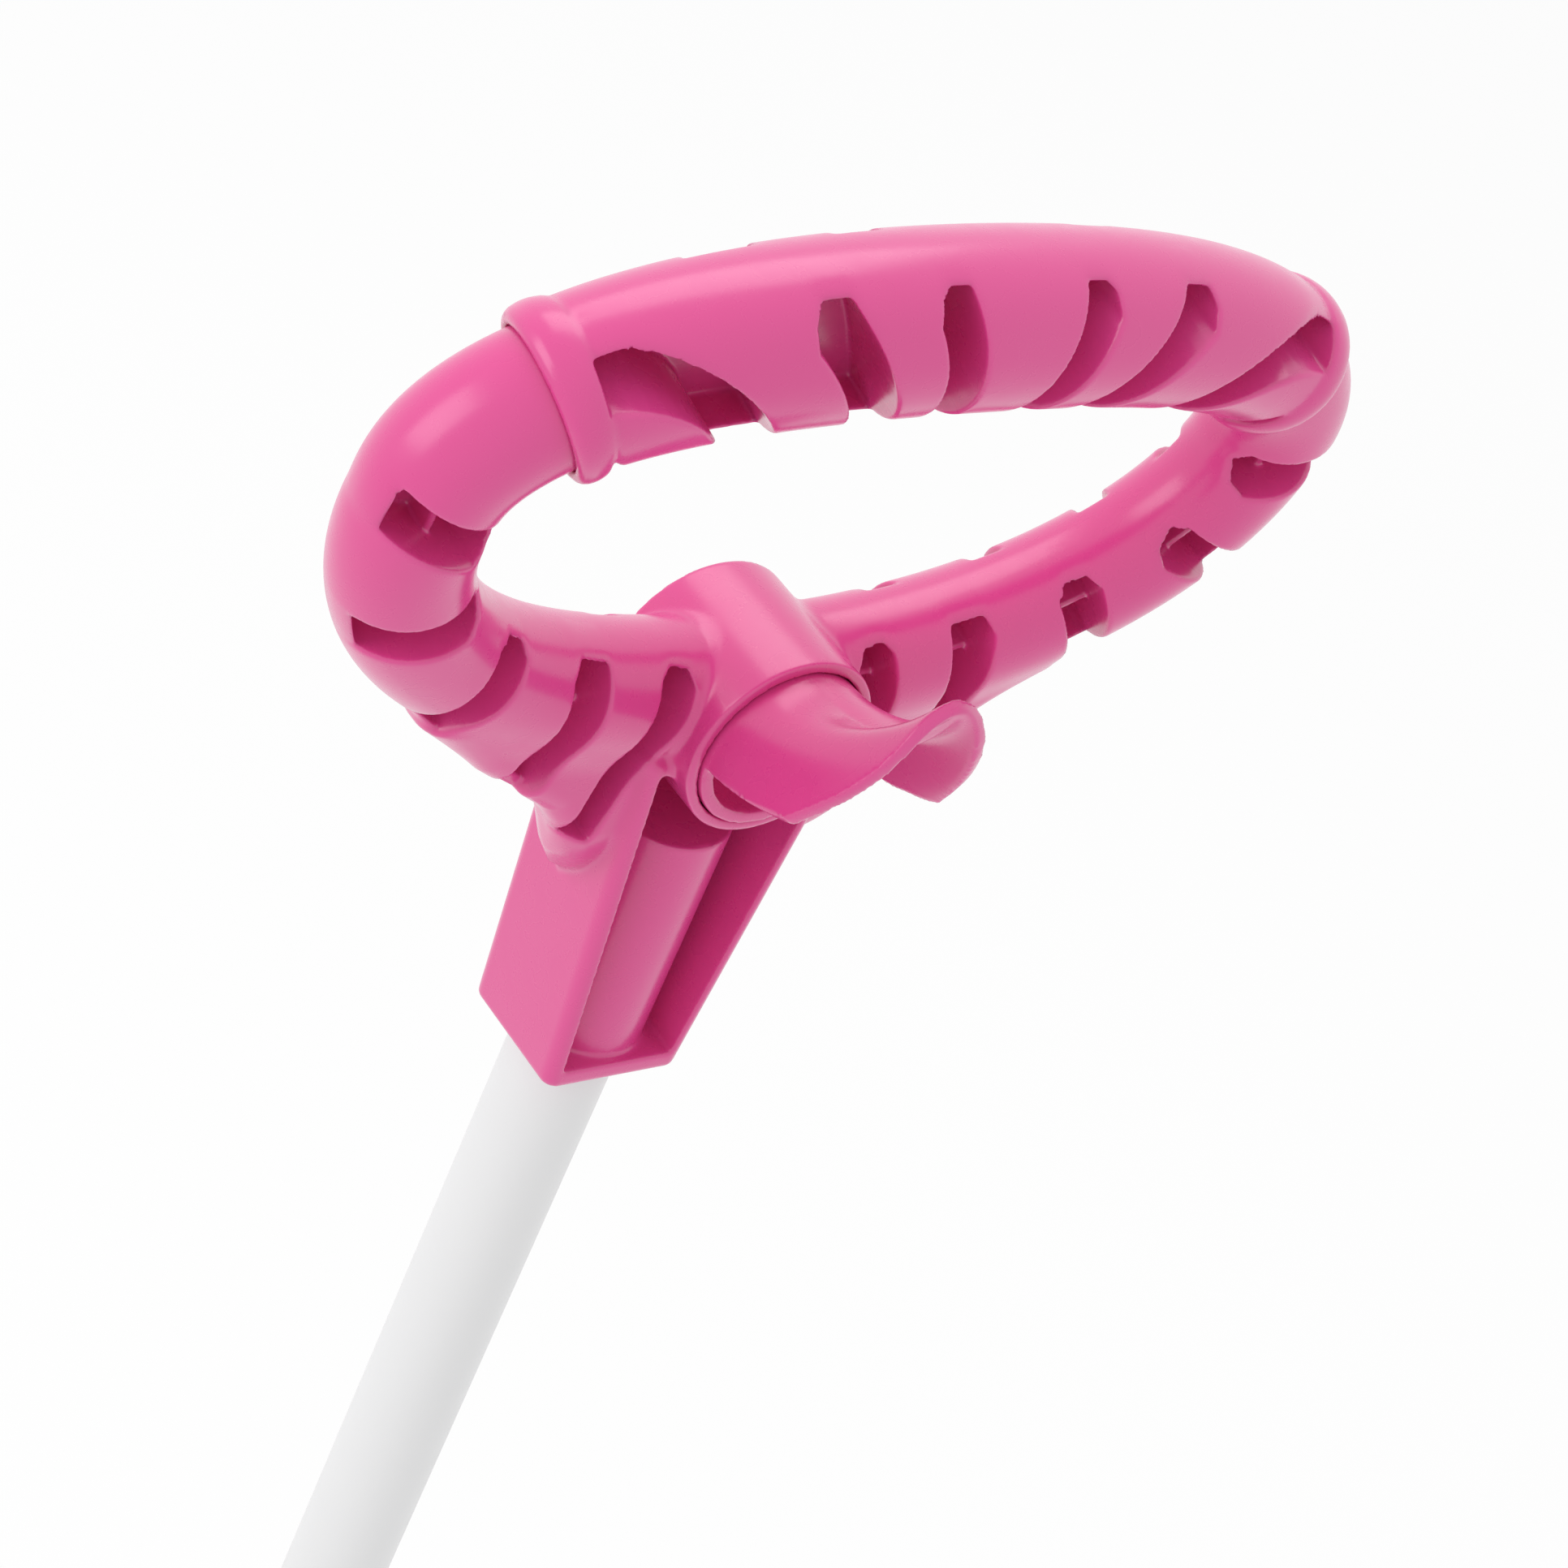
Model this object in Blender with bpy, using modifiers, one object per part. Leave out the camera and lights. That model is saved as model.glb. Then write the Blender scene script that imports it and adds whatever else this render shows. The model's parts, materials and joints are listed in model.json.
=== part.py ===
"""Long-handled dressing stick with a moulded D-grip and a swivelling bag hook.

A straight tube plugs into the stem of a C-shaped yoke. The yoke's two arms plug into the ends
of a thicker cross grip and close the hand loop. A round plug with a scoop-shaped hook turns in
the barrel at the foot of the loop. All sizes are in metres, +Z runs up the tube, -Y is the hook
side, and the floor end of the stick is at the origin.
"""

import math

import bmesh
import bpy
import numpy as np
from mathutils import Matrix, Vector

# Overall sizes
AXIS_HEIGHT = 0.600
HANDLE_LEAN = math.radians(10.5)

# Clearances: PLUG between a piece and its socket, SEAT between faces that rest on each other
PLUG_GAP = 0.0003
SEAT_GAP = 0.0002

# Hand loop, measured in its own leaning plane from the loop's foot
LOOP_FOOT = Vector((0.0, -0.0024, 0.0034))
LOOP_HALF_WIDTH = 0.0694
LOOP_CROWN = 0.0673
LOOP_BELLY = LOOP_CROWN * 0.587
LOOP_SILL = -0.0014
CROWN_REACH = LOOP_HALF_WIDTH * 1.107
SHOULDER_HEIGHT = LOOP_CROWN * 0.642
ELBOW_HEIGHT = LOOP_CROWN * 0.267
SILL_REACH = LOOP_HALF_WIDTH * 0.656
LOOP_STEPS = 480
JOINT_STRAIGHT = 0.0012

# Grip and arms
GRIP_RADIUS = 0.0116
GRIP_END_RADIUS = 0.0104
BEAD_RADIUS = 0.0112
BEAD_LENGTH = 0.0050
BEAD_EDGES = np.array((0.0, 0.06, 0.24, 0.56, 0.84)) * BEAD_LENGTH
BEAD_ROUND = 0.7
BEAD_LIP = 0.94
GRIP_HALF_LENGTH = LOOP_HALF_WIDTH * 0.898
ARM_RADIUS = 0.0091
WALL = 0.0020
SPIGOT_RADIUS = 0.0060
SPIGOT_LENGTH = 0.0060
RIB_THICKNESS = 0.0012
RIB_TOP = 0.0030

# Gusset between each arm and the stem, as a rounded upright plate: its outline from the arm's
# underside down to the nose on the stem's flank, then back inside the arm, as a share of the loop's
# half width and a height over the barrel's axis
GUSSET_HALF_DEPTH = 0.0090
GUSSET_MIDDLE = -0.0003
GUSSET_ROUND = 0.0055
GUSSET_THINNING = 0.60
GUSSET_FULL_HEIGHT = -0.0260
GUSSET_THIN_HEIGHT = -0.0040
GUSSET_OUTLINE = (
    (0.768, 0.0036),
    (0.612, -0.0050),
    (0.517, -0.0091),
    (0.419, -0.0134),
    (0.380, -0.0164),
    (0.356, -0.0195),
    (0.323, -0.0242),
    (0.272, -0.0292),
    (0.215, -0.0326),
    (0.115, -0.0320),
    (0.090, 0.0040),
    (0.690, 0.0120),
)

# Barrel, along Y through the foot of the loop
BARREL_RADIUS = 0.0145
BARREL_BORE = 0.0129
BARREL_FRONT = -0.0150
BARREL_BACK = 0.0075
BARREL_FLOOR_FRONT = 0.0004
BARREL_FLOOR = 0.0020
BARREL_RECESS_RADIUS = 0.0120
PIVOT_RADIUS = 0.0031
EDGE_BREAK = 0.0006

# Stem, a tapered channel that holds the tube
STEM_TOP = -0.0040
STEM_BOTTOM = -0.0650
STEM_TOP_HALF_WIDTH = 0.0178
STEM_BOTTOM_HALF_WIDTH = 0.0116
STEM_FRONT = -0.0115
STEM_BACK = 0.0100
STEM_WALL = 0.0024
STEM_EDGE = 0.0024
POCKET_TOP = -0.0060
POCKET_BOTTOM = -0.0620
BOSS_TOP = -0.0225

# Tube and end cap
TUBE_RADIUS = 0.0080
BOSS_RADIUS = TUBE_RADIUS + 0.0017
TUBE_WALL = 0.0012
TUBE_SOCKET_TOP = -0.0245
CAP_RADIUS = TUBE_RADIUS + 0.0022
CAP_HEIGHT = 0.0260
CAP_FLOOR = 0.0045

# Hook
HOOK_WALL = 0.0020
HOOK_LOW_ANGLE = math.radians(-6.0)
HOOK_ROOT = -0.0130
HOOK_RIM_Y = -0.0326
HOOK_RIM_Z = 0.0051
HOOK_RIM_HALF_WIDTH = 0.0138
HOOK_LIP_RISE = 0.0230
HOOK_LIP_REACH = 0.0070
HOOK_LIP_CURL = math.radians(125.0)
HOOK_TAPER = 0.62
HOOK_TIP_POWER = 10
HOOK_VALLEY_Y = -0.0330
HOOK_VALLEY_Z = 0.0095
HOOK_WAIST = 0.4
HOOK_SAG = 0.66
HOOK_CREST = Vector((0.0, -0.0200, 0.0140))
HOOK_SKIN = 0.00005
HOOK_COLUMNS = 24
HOOK_ROWS = 14
PLUG_PROUD = 0.0006
PLUG_CUP_DEPTH = 0.0090

# Fasteners
SCREW_SHANK = 0.0015
SCREW_POINT = 0.6
HEAD_FLANK = 0.55
HEAD_CROWN = 0.72
HOOK_SCREW_LENGTH = 0.0085
HOOK_SCREW_HEAD = 0.0036
WASHER_RADIUS = 0.0075
WASHER_THICKNESS = 0.0010
REAR_CAP_THICKNESS = 0.0013
GRIP_SCREW_STATION = GRIP_HALF_LENGTH - 0.0028
GRIP_SCREW_HEAD = 0.0019
SCREW_HEAD_HEIGHT = 0.0018
GRIP_SCREW_HOLE = 0.0120
GRIP_SCREW_LENGTH = 0.0084
TUBE_SCREW_HEAD = 0.0028
TUBE_SCREW_HEIGHT = -0.0440
TUBE_SCREW_LENGTH = 0.0070

# Windows as curved slots: one end, middle and other end, as shares of the loop's half width and of
# its crown height, then the slot's width in metres
GRIP_FRONT_WINDOWS = (
    ((0.182, 1.156), (0.115, 0.981), (0.089, 0.773), 0.0064),
    ((0.450, 1.132), (0.324, 0.981), (0.256, 0.773), 0.0064),
    ((0.843, 1.033), (0.634, 0.936), (0.476, 0.743), 0.0068),
    ((0.853, 0.840), (0.778, 0.802), (0.692, 0.684), 0.0046),
)
GRIP_BACK_WINDOWS = (
    ((0.184, 0.862), (0.228, 1.010), (0.293, 1.159), 0.0062),
    ((0.389, 0.832), (0.480, 0.996), (0.598, 1.122), 0.0078),
)
ARM_FRONT_WINDOWS = (
    ((0.228, 0.110), (0.261, -0.111), (0.293, -0.290), 0.0062),
    ((0.467, 0.172), (0.468, 0.015), (0.533, -0.193), 0.0066),
    ((0.683, 0.262), (0.728, 0.178), (0.821, 0.000), 0.0064),
    ((0.836, 0.391), (0.937, 0.361), (1.124, 0.305), 0.0064),
    ((0.893, 0.587), (1.009, 0.617), (1.182, 0.676), 0.0066),
)
ARM_BACK_WINDOWS = (
    ((0.350, -0.030), (0.346, 0.089), (0.339, 0.267), 0.0048),
    ((0.628, 0.059), (0.591, 0.149), (0.533, 0.327), 0.0048),
    ((0.905, 0.193), (0.821, 0.282), (0.692, 0.431), 0.0048),
    ((1.055, 0.450), (0.951, 0.475), (0.793, 0.513), 0.0048),
)

# Share of the bar's radius at which a window's rim lies off the mid plane, on each face, and where
# the pockets of the two faces stop so that a wall stays between them
FRONT_RIM = 0.48
BACK_RIM = 0.62
FRONT_FLOOR = 0.0014
BACK_FLOOR = 0.0026

# How finely round shapes are cut into facets
TURN_STEPS = 40
SCREW_STEPS = 16
ARM_POINTS = 52
GRIP_POINTS = 42
WINDOW_STEPS = 6
SPIGOT_POINTS = 16
END_STEP = 0.0008

# Size of the blocks that stand for all space on one side of a plane
REACH = 0.0900

PINK = (0.70, 0.075, 0.28, 1.0)
WHITE = (0.78, 0.78, 0.78, 1.0)
STEEL = (0.55, 0.55, 0.57, 1.0)
GREY = (0.42, 0.42, 0.43, 1.0)

LEAN = Matrix.Translation(LOOP_FOOT) @ Matrix.Rotation(HANDLE_LEAN, 4, "X")


def clear_scene():
    """Remove whatever the scene holds."""
    for thing in list(bpy.data.objects):
        bpy.data.objects.remove(thing, do_unlink=True)


def material(name, colour, roughness, metallic=0.0):
    """A plain Principled material."""
    made = bpy.data.materials.new(name)
    made.use_nodes = True
    shader = made.node_tree.nodes["Principled BSDF"]
    shader.inputs["Base Color"].default_value = colour
    shader.inputs["Roughness"].default_value = roughness
    shader.inputs["Metallic"].default_value = metallic
    return made


def link(name, data):
    """A new object in the scene."""
    thing = bpy.data.objects.new(name, data)
    bpy.context.scene.collection.objects.link(thing)
    return thing


def as_mesh(thing):
    """The object with its modifiers or its curve turned into a clean mesh, in place of the old one."""
    bpy.context.view_layer.update()
    graph = bpy.context.evaluated_depsgraph_get()
    mesh = bpy.data.meshes.new_from_object(thing.evaluated_get(graph))
    solid = link(thing.name + "_mesh", mesh)
    solid.matrix_world = thing.matrix_world
    name = thing.name
    bpy.data.objects.remove(thing, do_unlink=True)
    solid.name = name
    shape = bmesh.new()
    shape.from_mesh(mesh)
    bmesh.ops.remove_doubles(shape, verts=shape.verts, dist=2e-6)
    bmesh.ops.dissolve_degenerate(shape, edges=shape.edges, dist=1e-6)
    bmesh.ops.recalc_face_normals(shape, faces=shape.faces)
    shape.to_mesh(mesh)
    shape.free()
    return solid


def combine(target, others, operation):
    """One Boolean for each other object, which is then removed."""
    for other in others:
        cut = target.modifiers.new("combine", "BOOLEAN")
        cut.operation = operation
        cut.solver = "MANIFOLD"
        cut.object = other
        target = as_mesh(target)
        bpy.data.objects.remove(other, do_unlink=True)
    return target


def joined(name, things):
    """Separate closed meshes put into one object, with their world places kept."""
    shape = bmesh.new()
    for thing in things:
        mesh = thing.data.copy()
        mesh.transform(thing.matrix_world)
        shape.from_mesh(mesh)
        bpy.data.objects.remove(thing, do_unlink=True)
    mesh = bpy.data.meshes.new(name)
    shape.to_mesh(mesh)
    shape.free()
    return link(name, mesh)


def turned(name, profile, steps=TURN_STEPS):
    """A profile of (radius, height) points, closed to a loop, turned about Y with heights along Y."""
    mesh = bpy.data.meshes.new(name)
    shape = bmesh.new()
    points = [shape.verts.new((radius, height, 0.0)) for radius, height in profile]
    on_axis = [radius < 1e-9 for radius, _ in profile]
    for first, second in zip(range(len(points)), list(range(1, len(points))) + [0]):
        if not (on_axis[first] and on_axis[second]):
            shape.edges.new((points[first], points[second]))
    shape.to_mesh(mesh)
    shape.free()
    thing = link(name, mesh)
    spin = thing.modifiers.new("turn", "SCREW")
    spin.axis = "Y"
    spin.steps = steps
    spin.render_steps = steps
    spin.use_merge_vertices = True
    spin.merge_threshold = 1e-5
    return as_mesh(thing)


def cylinder(name, radius, low, high, steps=TURN_STEPS):
    """A cylinder along Y."""
    return turned(name, ((0.0, low), (radius, low), (radius, high), (0.0, high)), steps)


def upright(thing):
    """Turn a solid that was turned about Y so that its axis runs along Z."""
    thing.data.transform(Matrix.Rotation(math.radians(90.0), 4, "X"))
    return thing


def tube(name, points, radii, sides_level):
    """A round bar along points, as a bevelled curve with filled ends."""
    data = bpy.data.curves.new(name, "CURVE")
    data.dimensions = "3D"
    data.bevel_depth = 1.0
    data.bevel_resolution = sides_level
    data.use_fill_caps = True
    spline = data.splines.new("POLY")
    spline.points.add(len(points) - 1)
    for place, point, radius in zip(spline.points, points, radii):
        place.co = (*point, 1.0)
        place.radius = radius
    return as_mesh(link(name, data))


def plate(name, outline, half_depth, rounding=0.0, inset=0.0):
    """A flat outline in XY, drawn in by inset, extruded both ways along Z, with rounded edges if asked."""
    data = bpy.data.curves.new(name, "CURVE")
    data.dimensions = "2D"
    data.fill_mode = "BOTH"
    data.extrude = half_depth - rounding
    data.bevel_depth = rounding
    data.bevel_resolution = 2
    data.offset = -rounding - inset
    spline = data.splines.new("POLY")
    spline.points.add(len(outline) - 1)
    spline.use_cyclic_u = True
    for place, (across, along) in zip(spline.points, outline):
        place.co = (across, along, 0.0, 1.0)
    return as_mesh(link(name, data))


def bezier(ends, steps):
    """Points on a Bezier curve of any order."""
    ends = np.array(ends, float)
    order = len(ends) - 1
    share = np.linspace(0.0, 1.0, steps)[:, None]
    total = np.zeros((steps, ends.shape[1]))
    for index, end in enumerate(ends):
        total += math.comb(order, index) * (1 - share) ** (order - index) * share**index * end
    return total


def loop_half():
    """The right half of the centre line, crown to sill, straight at the grip's end, and its length."""
    upper = bezier(
        (
            (0.0, LOOP_CROWN),
            (CROWN_REACH, LOOP_CROWN),
            (LOOP_HALF_WIDTH, SHOULDER_HEIGHT),
            (LOOP_HALF_WIDTH, LOOP_BELLY),
        ),
        LOOP_STEPS,
    )
    lower = bezier(
        (
            (LOOP_HALF_WIDTH, LOOP_BELLY),
            (LOOP_HALF_WIDTH, ELBOW_HEIGHT),
            (SILL_REACH, LOOP_SILL),
            (0.0, LOOP_SILL),
        ),
        LOOP_STEPS,
    )
    points = np.concatenate((upper, lower[1:]))
    steps = np.linalg.norm(np.diff(points, axis=0), axis=1)
    lengths = np.concatenate(((0.0,), np.cumsum(steps)))
    kept = np.abs(lengths - GRIP_HALF_LENGTH) > JOINT_STRAIGHT
    return points[kept], lengths[kept]


def on_loop(stations):
    """Centre-line points, in the loop's plane (XZ), at lengths from the crown; negative is left."""
    points, lengths = loop_half()
    stations = np.asarray(stations, float)
    across = np.interp(np.abs(stations), lengths, points[:, 0]) * np.sign(stations)
    along = np.interp(np.abs(stations), lengths, points[:, 1])
    return [(x, 0.0, z) for x, z in zip(across, along)]


def loop_length():
    """Length of half the loop."""
    return loop_half()[1][-1]


def around_sill(start, count):
    """Stations from the right arm's end, down past the sill and up to the left arm's end."""
    side = np.linspace(start, loop_length(), count // 2)
    side = np.concatenate((side[:1], side[:1] + END_STEP, side[1:]))
    return np.concatenate((side, -side[-2::-1]))


def stand(thing):
    """Turn a plate made in XY so that it stands in the loop's plane, XZ, facing -Y."""
    thing.data.transform(Matrix.Rotation(math.radians(90.0), 4, "X"))
    return thing


def leaned(thing):
    """Move a solid made in the loop's own plane into its leaning place."""
    thing.data.transform(LEAN)
    return thing


def window_outline(ends, width, side):
    """A slot of even width along a curved spine, with its closed end's corners cut back."""
    spine = bezier(ends, WINDOW_STEPS)
    spine *= (side * LOOP_HALF_WIDTH, LOOP_CROWN)
    along = np.gradient(spine, axis=0)
    along /= np.linalg.norm(along, axis=1)[:, None]
    across = np.stack((-along[:, 1], along[:, 0]), axis=1)
    half = width / 2
    corner = width / 4
    left = [tuple(p + a * half) for p, a in zip(spine, across)]
    right = [tuple(p - a * half) for p, a in zip(spine, across)]
    end = spine[0]
    left[0] = tuple(end + across[0] * half + along[0] * corner)
    right[0] = tuple(end - across[0] * half + along[0] * corner)
    nose = [tuple(end - across[0] * (half - corner)), tuple(end + across[0] * (half - corner))]
    return nose + left + right[::-1]


def window_cutters(name, windows, front, core, radius):
    """Pockets: slots cut from one face down to the rim level, and deeper inside the core only."""
    depth = radius * 2
    slots = []
    for ends_and_width in windows:
        for side in (1.0, -1.0):
            outline = window_outline(ends_and_width[:3], ends_and_width[3], side)
            slots.append(stand(plate("slot", outline, depth)))
    cutters = joined(name, slots)
    rim = -radius * FRONT_RIM if front else radius * BACK_RIM
    limit = combine(half_space(name + "_rim", rim, front), [core], "UNION")
    floor = half_space(name + "_floor", FRONT_FLOOR if front else BACK_FLOOR, front)
    return combine(cutters, [limit, floor], "INTERSECT")


def half_space(name, level, front):
    """A big block whose one face lies at a level of Y, with the rest of it to the front or the back."""
    bpy.ops.mesh.primitive_cube_add(size=1.0)
    block = bpy.context.object
    block.name = name
    block.data.transform(Matrix.Diagonal((REACH * 4, REACH, REACH * 4, 1.0)))
    middle = level - REACH / 2 if front else level + REACH / 2
    block.data.transform(Matrix.Translation((0.0, middle, 0.0)))
    return block


def stem_block(name, inset, top, bottom, front, back):
    """A tapered block under the barrel, drawn in by inset at the sides."""
    bpy.ops.mesh.primitive_cube_add(size=1.0)
    block = bpy.context.object
    block.name = name
    slope = (STEM_TOP_HALF_WIDTH - STEM_BOTTOM_HALF_WIDTH) / (STEM_TOP - STEM_BOTTOM)
    for corner in block.data.vertices:
        height = top if corner.co.z > 0 else bottom
        half = STEM_BOTTOM_HALF_WIDTH + slope * (height - STEM_BOTTOM) - inset
        depth = back if corner.co.y > 0 else front
        corner.co = (math.copysign(half, corner.co.x), depth, height)
    return block


def rounded(thing, width, segments=2):
    """Bevel every edge."""
    edge = thing.modifiers.new("round", "BEVEL")
    edge.width = width
    edge.segments = segments
    edge.limit_method = "ANGLE"
    return as_mesh(thing)


def gusset_outline(side):
    """The plate that fairs an arm's underside onto the stem's flank."""
    return [(share * LOOP_HALF_WIDTH * side, height) for share, height in GUSSET_OUTLINE]


def gusset(name, side, rounding, inset):
    """One gusset, drawn in by inset, its back sloped in towards the arm, in the loop's own plane."""
    made = stand(plate(name, gusset_outline(side), GUSSET_HALF_DEPTH - inset, rounding, inset))
    for corner in made.data.vertices:
        rise = (corner.co.z - GUSSET_FULL_HEIGHT) / (GUSSET_THIN_HEIGHT - GUSSET_FULL_HEIGHT)
        if corner.co.y > 0:
            corner.co.y *= 1 - GUSSET_THINNING * min(max(rise, 0.0), 1.0)
    made.data.transform(LEAN.inverted() @ Matrix.Translation((0.0, GUSSET_MIDDLE, 0.0)))
    return made


def make_yoke():
    """Arms, barrel and stem in one moulding."""
    start = GRIP_HALF_LENGTH + SEAT_GAP
    path = on_loop(around_sill(start, ARM_POINTS))
    yoke = tube("handle_yoke", path, [ARM_RADIUS] * len(path), 4)
    spigots = []
    for side in (1.0, -1.0):
        line = on_loop(side * np.linspace(start - SPIGOT_LENGTH, start + ARM_RADIUS, SPIGOT_POINTS))
        spigots.append(tube("spigot", line, [SPIGOT_RADIUS] * len(line), 3))
    plates = []
    for side in (1.0, -1.0):
        plates.append(gusset("gusset", side, GUSSET_ROUND, 0.0))
    yoke = combine(yoke, spigots + plates, "UNION")

    front = window_cutters("front_windows", ARM_FRONT_WINDOWS, True, arm_core(path, True), ARM_RADIUS)
    rib_path = [(x, z) for x, _, z in path]
    front = combine(front, [pocket_rib(rib_path)], "DIFFERENCE")
    back = window_cutters("back_windows", ARM_BACK_WINDOWS, False, arm_core(path, False), ARM_RADIUS)
    yoke = leaned(combine(yoke, [front, back], "DIFFERENCE"))

    barrel = turned(
        "barrel",
        (
            (0.0, BARREL_FRONT),
            (BARREL_RADIUS - EDGE_BREAK, BARREL_FRONT),
            (BARREL_RADIUS, BARREL_FRONT + EDGE_BREAK),
            (BARREL_RADIUS, BARREL_BACK - EDGE_BREAK),
            (BARREL_RADIUS - EDGE_BREAK, BARREL_BACK),
            (0.0, BARREL_BACK),
        ),
    )
    stem = rounded(stem_block("stem", 0.0, STEM_TOP, STEM_BOTTOM, STEM_FRONT, STEM_BACK), STEM_EDGE, 3)
    pocket = stem_block("pocket", STEM_WALL, POCKET_TOP, POCKET_BOTTOM, STEM_FRONT * 2, STEM_BACK - STEM_WALL)
    boss = upright(cylinder("boss", BOSS_RADIUS, STEM_BOTTOM * 2, BOSS_TOP))
    pocket = combine(pocket, [boss], "DIFFERENCE")
    yoke = combine(yoke, [stem], "UNION")
    yoke = combine(yoke, [pocket], "DIFFERENCE")
    yoke = combine(yoke, [barrel], "UNION")

    floor_back = BARREL_FLOOR_FRONT + BARREL_FLOOR
    bores = [
        cylinder("bore", BARREL_BORE, BARREL_FRONT * 2, BARREL_FLOOR_FRONT),
        cylinder("recess", BARREL_RECESS_RADIUS, floor_back, BARREL_BACK * 2),
        cylinder("pivot_hole", PIVOT_RADIUS + PLUG_GAP, 0.0, BARREL_BACK, SCREW_STEPS),
        upright(cylinder("socket", TUBE_RADIUS + PLUG_GAP, STEM_BOTTOM * 2, TUBE_SOCKET_TOP)),
        tube_screw_hole(SCREW_SHANK + PLUG_GAP),
    ]
    for side in (1.0, -1.0):
        bores.append(leaned(grip_screw_hole(side, SCREW_SHANK + PLUG_GAP, GRIP_SCREW_HOLE + PLUG_GAP)))
    return combine(yoke, bores, "DIFFERENCE")


def arm_core(path, with_gussets):
    """What the pockets may hollow out: the arms and gussets less their walls."""
    core = tube("core", path, [ARM_RADIUS - WALL] * len(path), 3)
    plates = []
    if with_gussets:
        for side in (1.0, -1.0):
            plates.append(gusset("gusset_core", side, 0.0, WALL))
    return combine(core, plates, "UNION")


def pocket_rib(path):
    """A thin wall along the arms' centre line, standing on the pockets' floors."""
    data = bpy.data.curves.new("rib", "CURVE")
    data.dimensions = "3D"
    data.twist_mode = "Z_UP"
    data.extrude = ARM_RADIUS
    data.bevel_depth = RIB_THICKNESS / 2
    data.bevel_resolution = 0
    data.use_fill_caps = True
    spline = data.splines.new("POLY")
    spline.points.add(len(path) - 1)
    for place, (across, along) in zip(spline.points, path):
        place.co = (across, along, 0.0, 1.0)
    rib = stand(as_mesh(link("rib", data)))
    rib.data.transform(Matrix.Translation((0.0, ARM_RADIUS + RIB_THICKNESS / 2 - RIB_TOP, 0.0)))
    return rib


def grip_screw_hole(side, radius, depth):
    """A hole from the grip's back face inward, in the loop's own plane."""
    point = on_loop([side * GRIP_SCREW_STATION])[0]
    hole = cylinder("screw_hole", radius, GRIP_RADIUS - depth, GRIP_RADIUS * 2, SCREW_STEPS)
    hole.data.transform(Matrix.Translation(point))
    return hole


def tube_screw_hole(radius):
    """A hole through the stem's back wall and the tube's near wall."""
    hole = cylinder("tube_screw_hole", radius, 0.0, STEM_BACK * 2, SCREW_STEPS)
    hole.data.transform(Matrix.Translation((0.0, 0.0, TUBE_SCREW_HEIGHT)))
    return hole


def make_grip():
    """The thick cross bar, with a bead at each end and a socket for each arm."""
    stations = np.linspace(-GRIP_HALF_LENGTH, GRIP_HALF_LENGTH, GRIP_POINTS)
    bead_root = GRIP_HALF_LENGTH - BEAD_LENGTH
    stations = stations[np.abs(stations) < bead_root - END_STEP]
    ends = GRIP_HALF_LENGTH - BEAD_EDGES
    stations = np.concatenate((-ends, (-bead_root,), stations, (bead_root,), ends[::-1]))
    share = np.abs(stations) / GRIP_HALF_LENGTH
    radii = GRIP_RADIUS + (GRIP_END_RADIUS - GRIP_RADIUS) * share**2
    in_bead = np.clip((np.abs(stations) - bead_root) / BEAD_LENGTH, 0.0, 1.0)
    radii = radii + (BEAD_RADIUS - GRIP_END_RADIUS) * np.sin(in_bead * math.pi * BEAD_LIP) ** BEAD_ROUND
    grip = tube("grip_bar", on_loop(stations), radii, 5)

    inner = np.linspace(-GRIP_HALF_LENGTH, GRIP_HALF_LENGTH, GRIP_POINTS)
    cores = []
    for _ in range(2):
        core_radius = [GRIP_END_RADIUS - WALL] * len(inner)
        cores.append(tube("core", on_loop(inner), core_radius, 3))
    front = window_cutters("front_windows", GRIP_FRONT_WINDOWS, True, cores[0], GRIP_RADIUS)
    back = window_cutters("back_windows", GRIP_BACK_WINDOWS, False, cores[1], GRIP_RADIUS)
    guards = []
    sockets = []
    reach = SPIGOT_LENGTH + PLUG_GAP
    for side in (1.0, -1.0):
        past = GRIP_HALF_LENGTH + ARM_RADIUS
        line = on_loop(side * np.linspace(GRIP_HALF_LENGTH - reach - WALL, past, SPIGOT_POINTS))
        guards.append(tube("guard", line, [SPIGOT_RADIUS + WALL] * len(line), 3))
        line = on_loop(side * np.linspace(GRIP_HALF_LENGTH - reach, past, SPIGOT_POINTS))
        sockets.append(tube("socket", line, [SPIGOT_RADIUS + PLUG_GAP] * len(line), 3))
    front = combine(front, guards, "DIFFERENCE")
    grip = combine(grip, [front, back] + sockets, "DIFFERENCE")
    holes = []
    for side in (1.0, -1.0):
        holes.append(grip_screw_hole(side, SCREW_SHANK + PLUG_GAP, GRIP_SCREW_HOLE))
        head_depth = SCREW_HEAD_HEIGHT + SEAT_GAP + (GRIP_RADIUS - GRIP_END_RADIUS)
        holes.append(grip_screw_hole(side, GRIP_SCREW_HEAD + PLUG_GAP, head_depth))
    return leaned(combine(grip, holes, "DIFFERENCE"))


def screw(name, head_radius, head_height, length):
    """A pan-head screw along Y, its head's underside at zero and its shank towards -Y."""
    return turned(
        name,
        (
            (0.0, -length),
            (SCREW_SHANK * SCREW_POINT, -length),
            (SCREW_SHANK, -length + SCREW_SHANK),
            (SCREW_SHANK, 0.0),
            (head_radius, 0.0),
            (head_radius, head_height * HEAD_FLANK),
            (head_radius * HEAD_CROWN, head_height),
            (0.0, head_height),
        ),
        SCREW_STEPS,
    )


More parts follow.
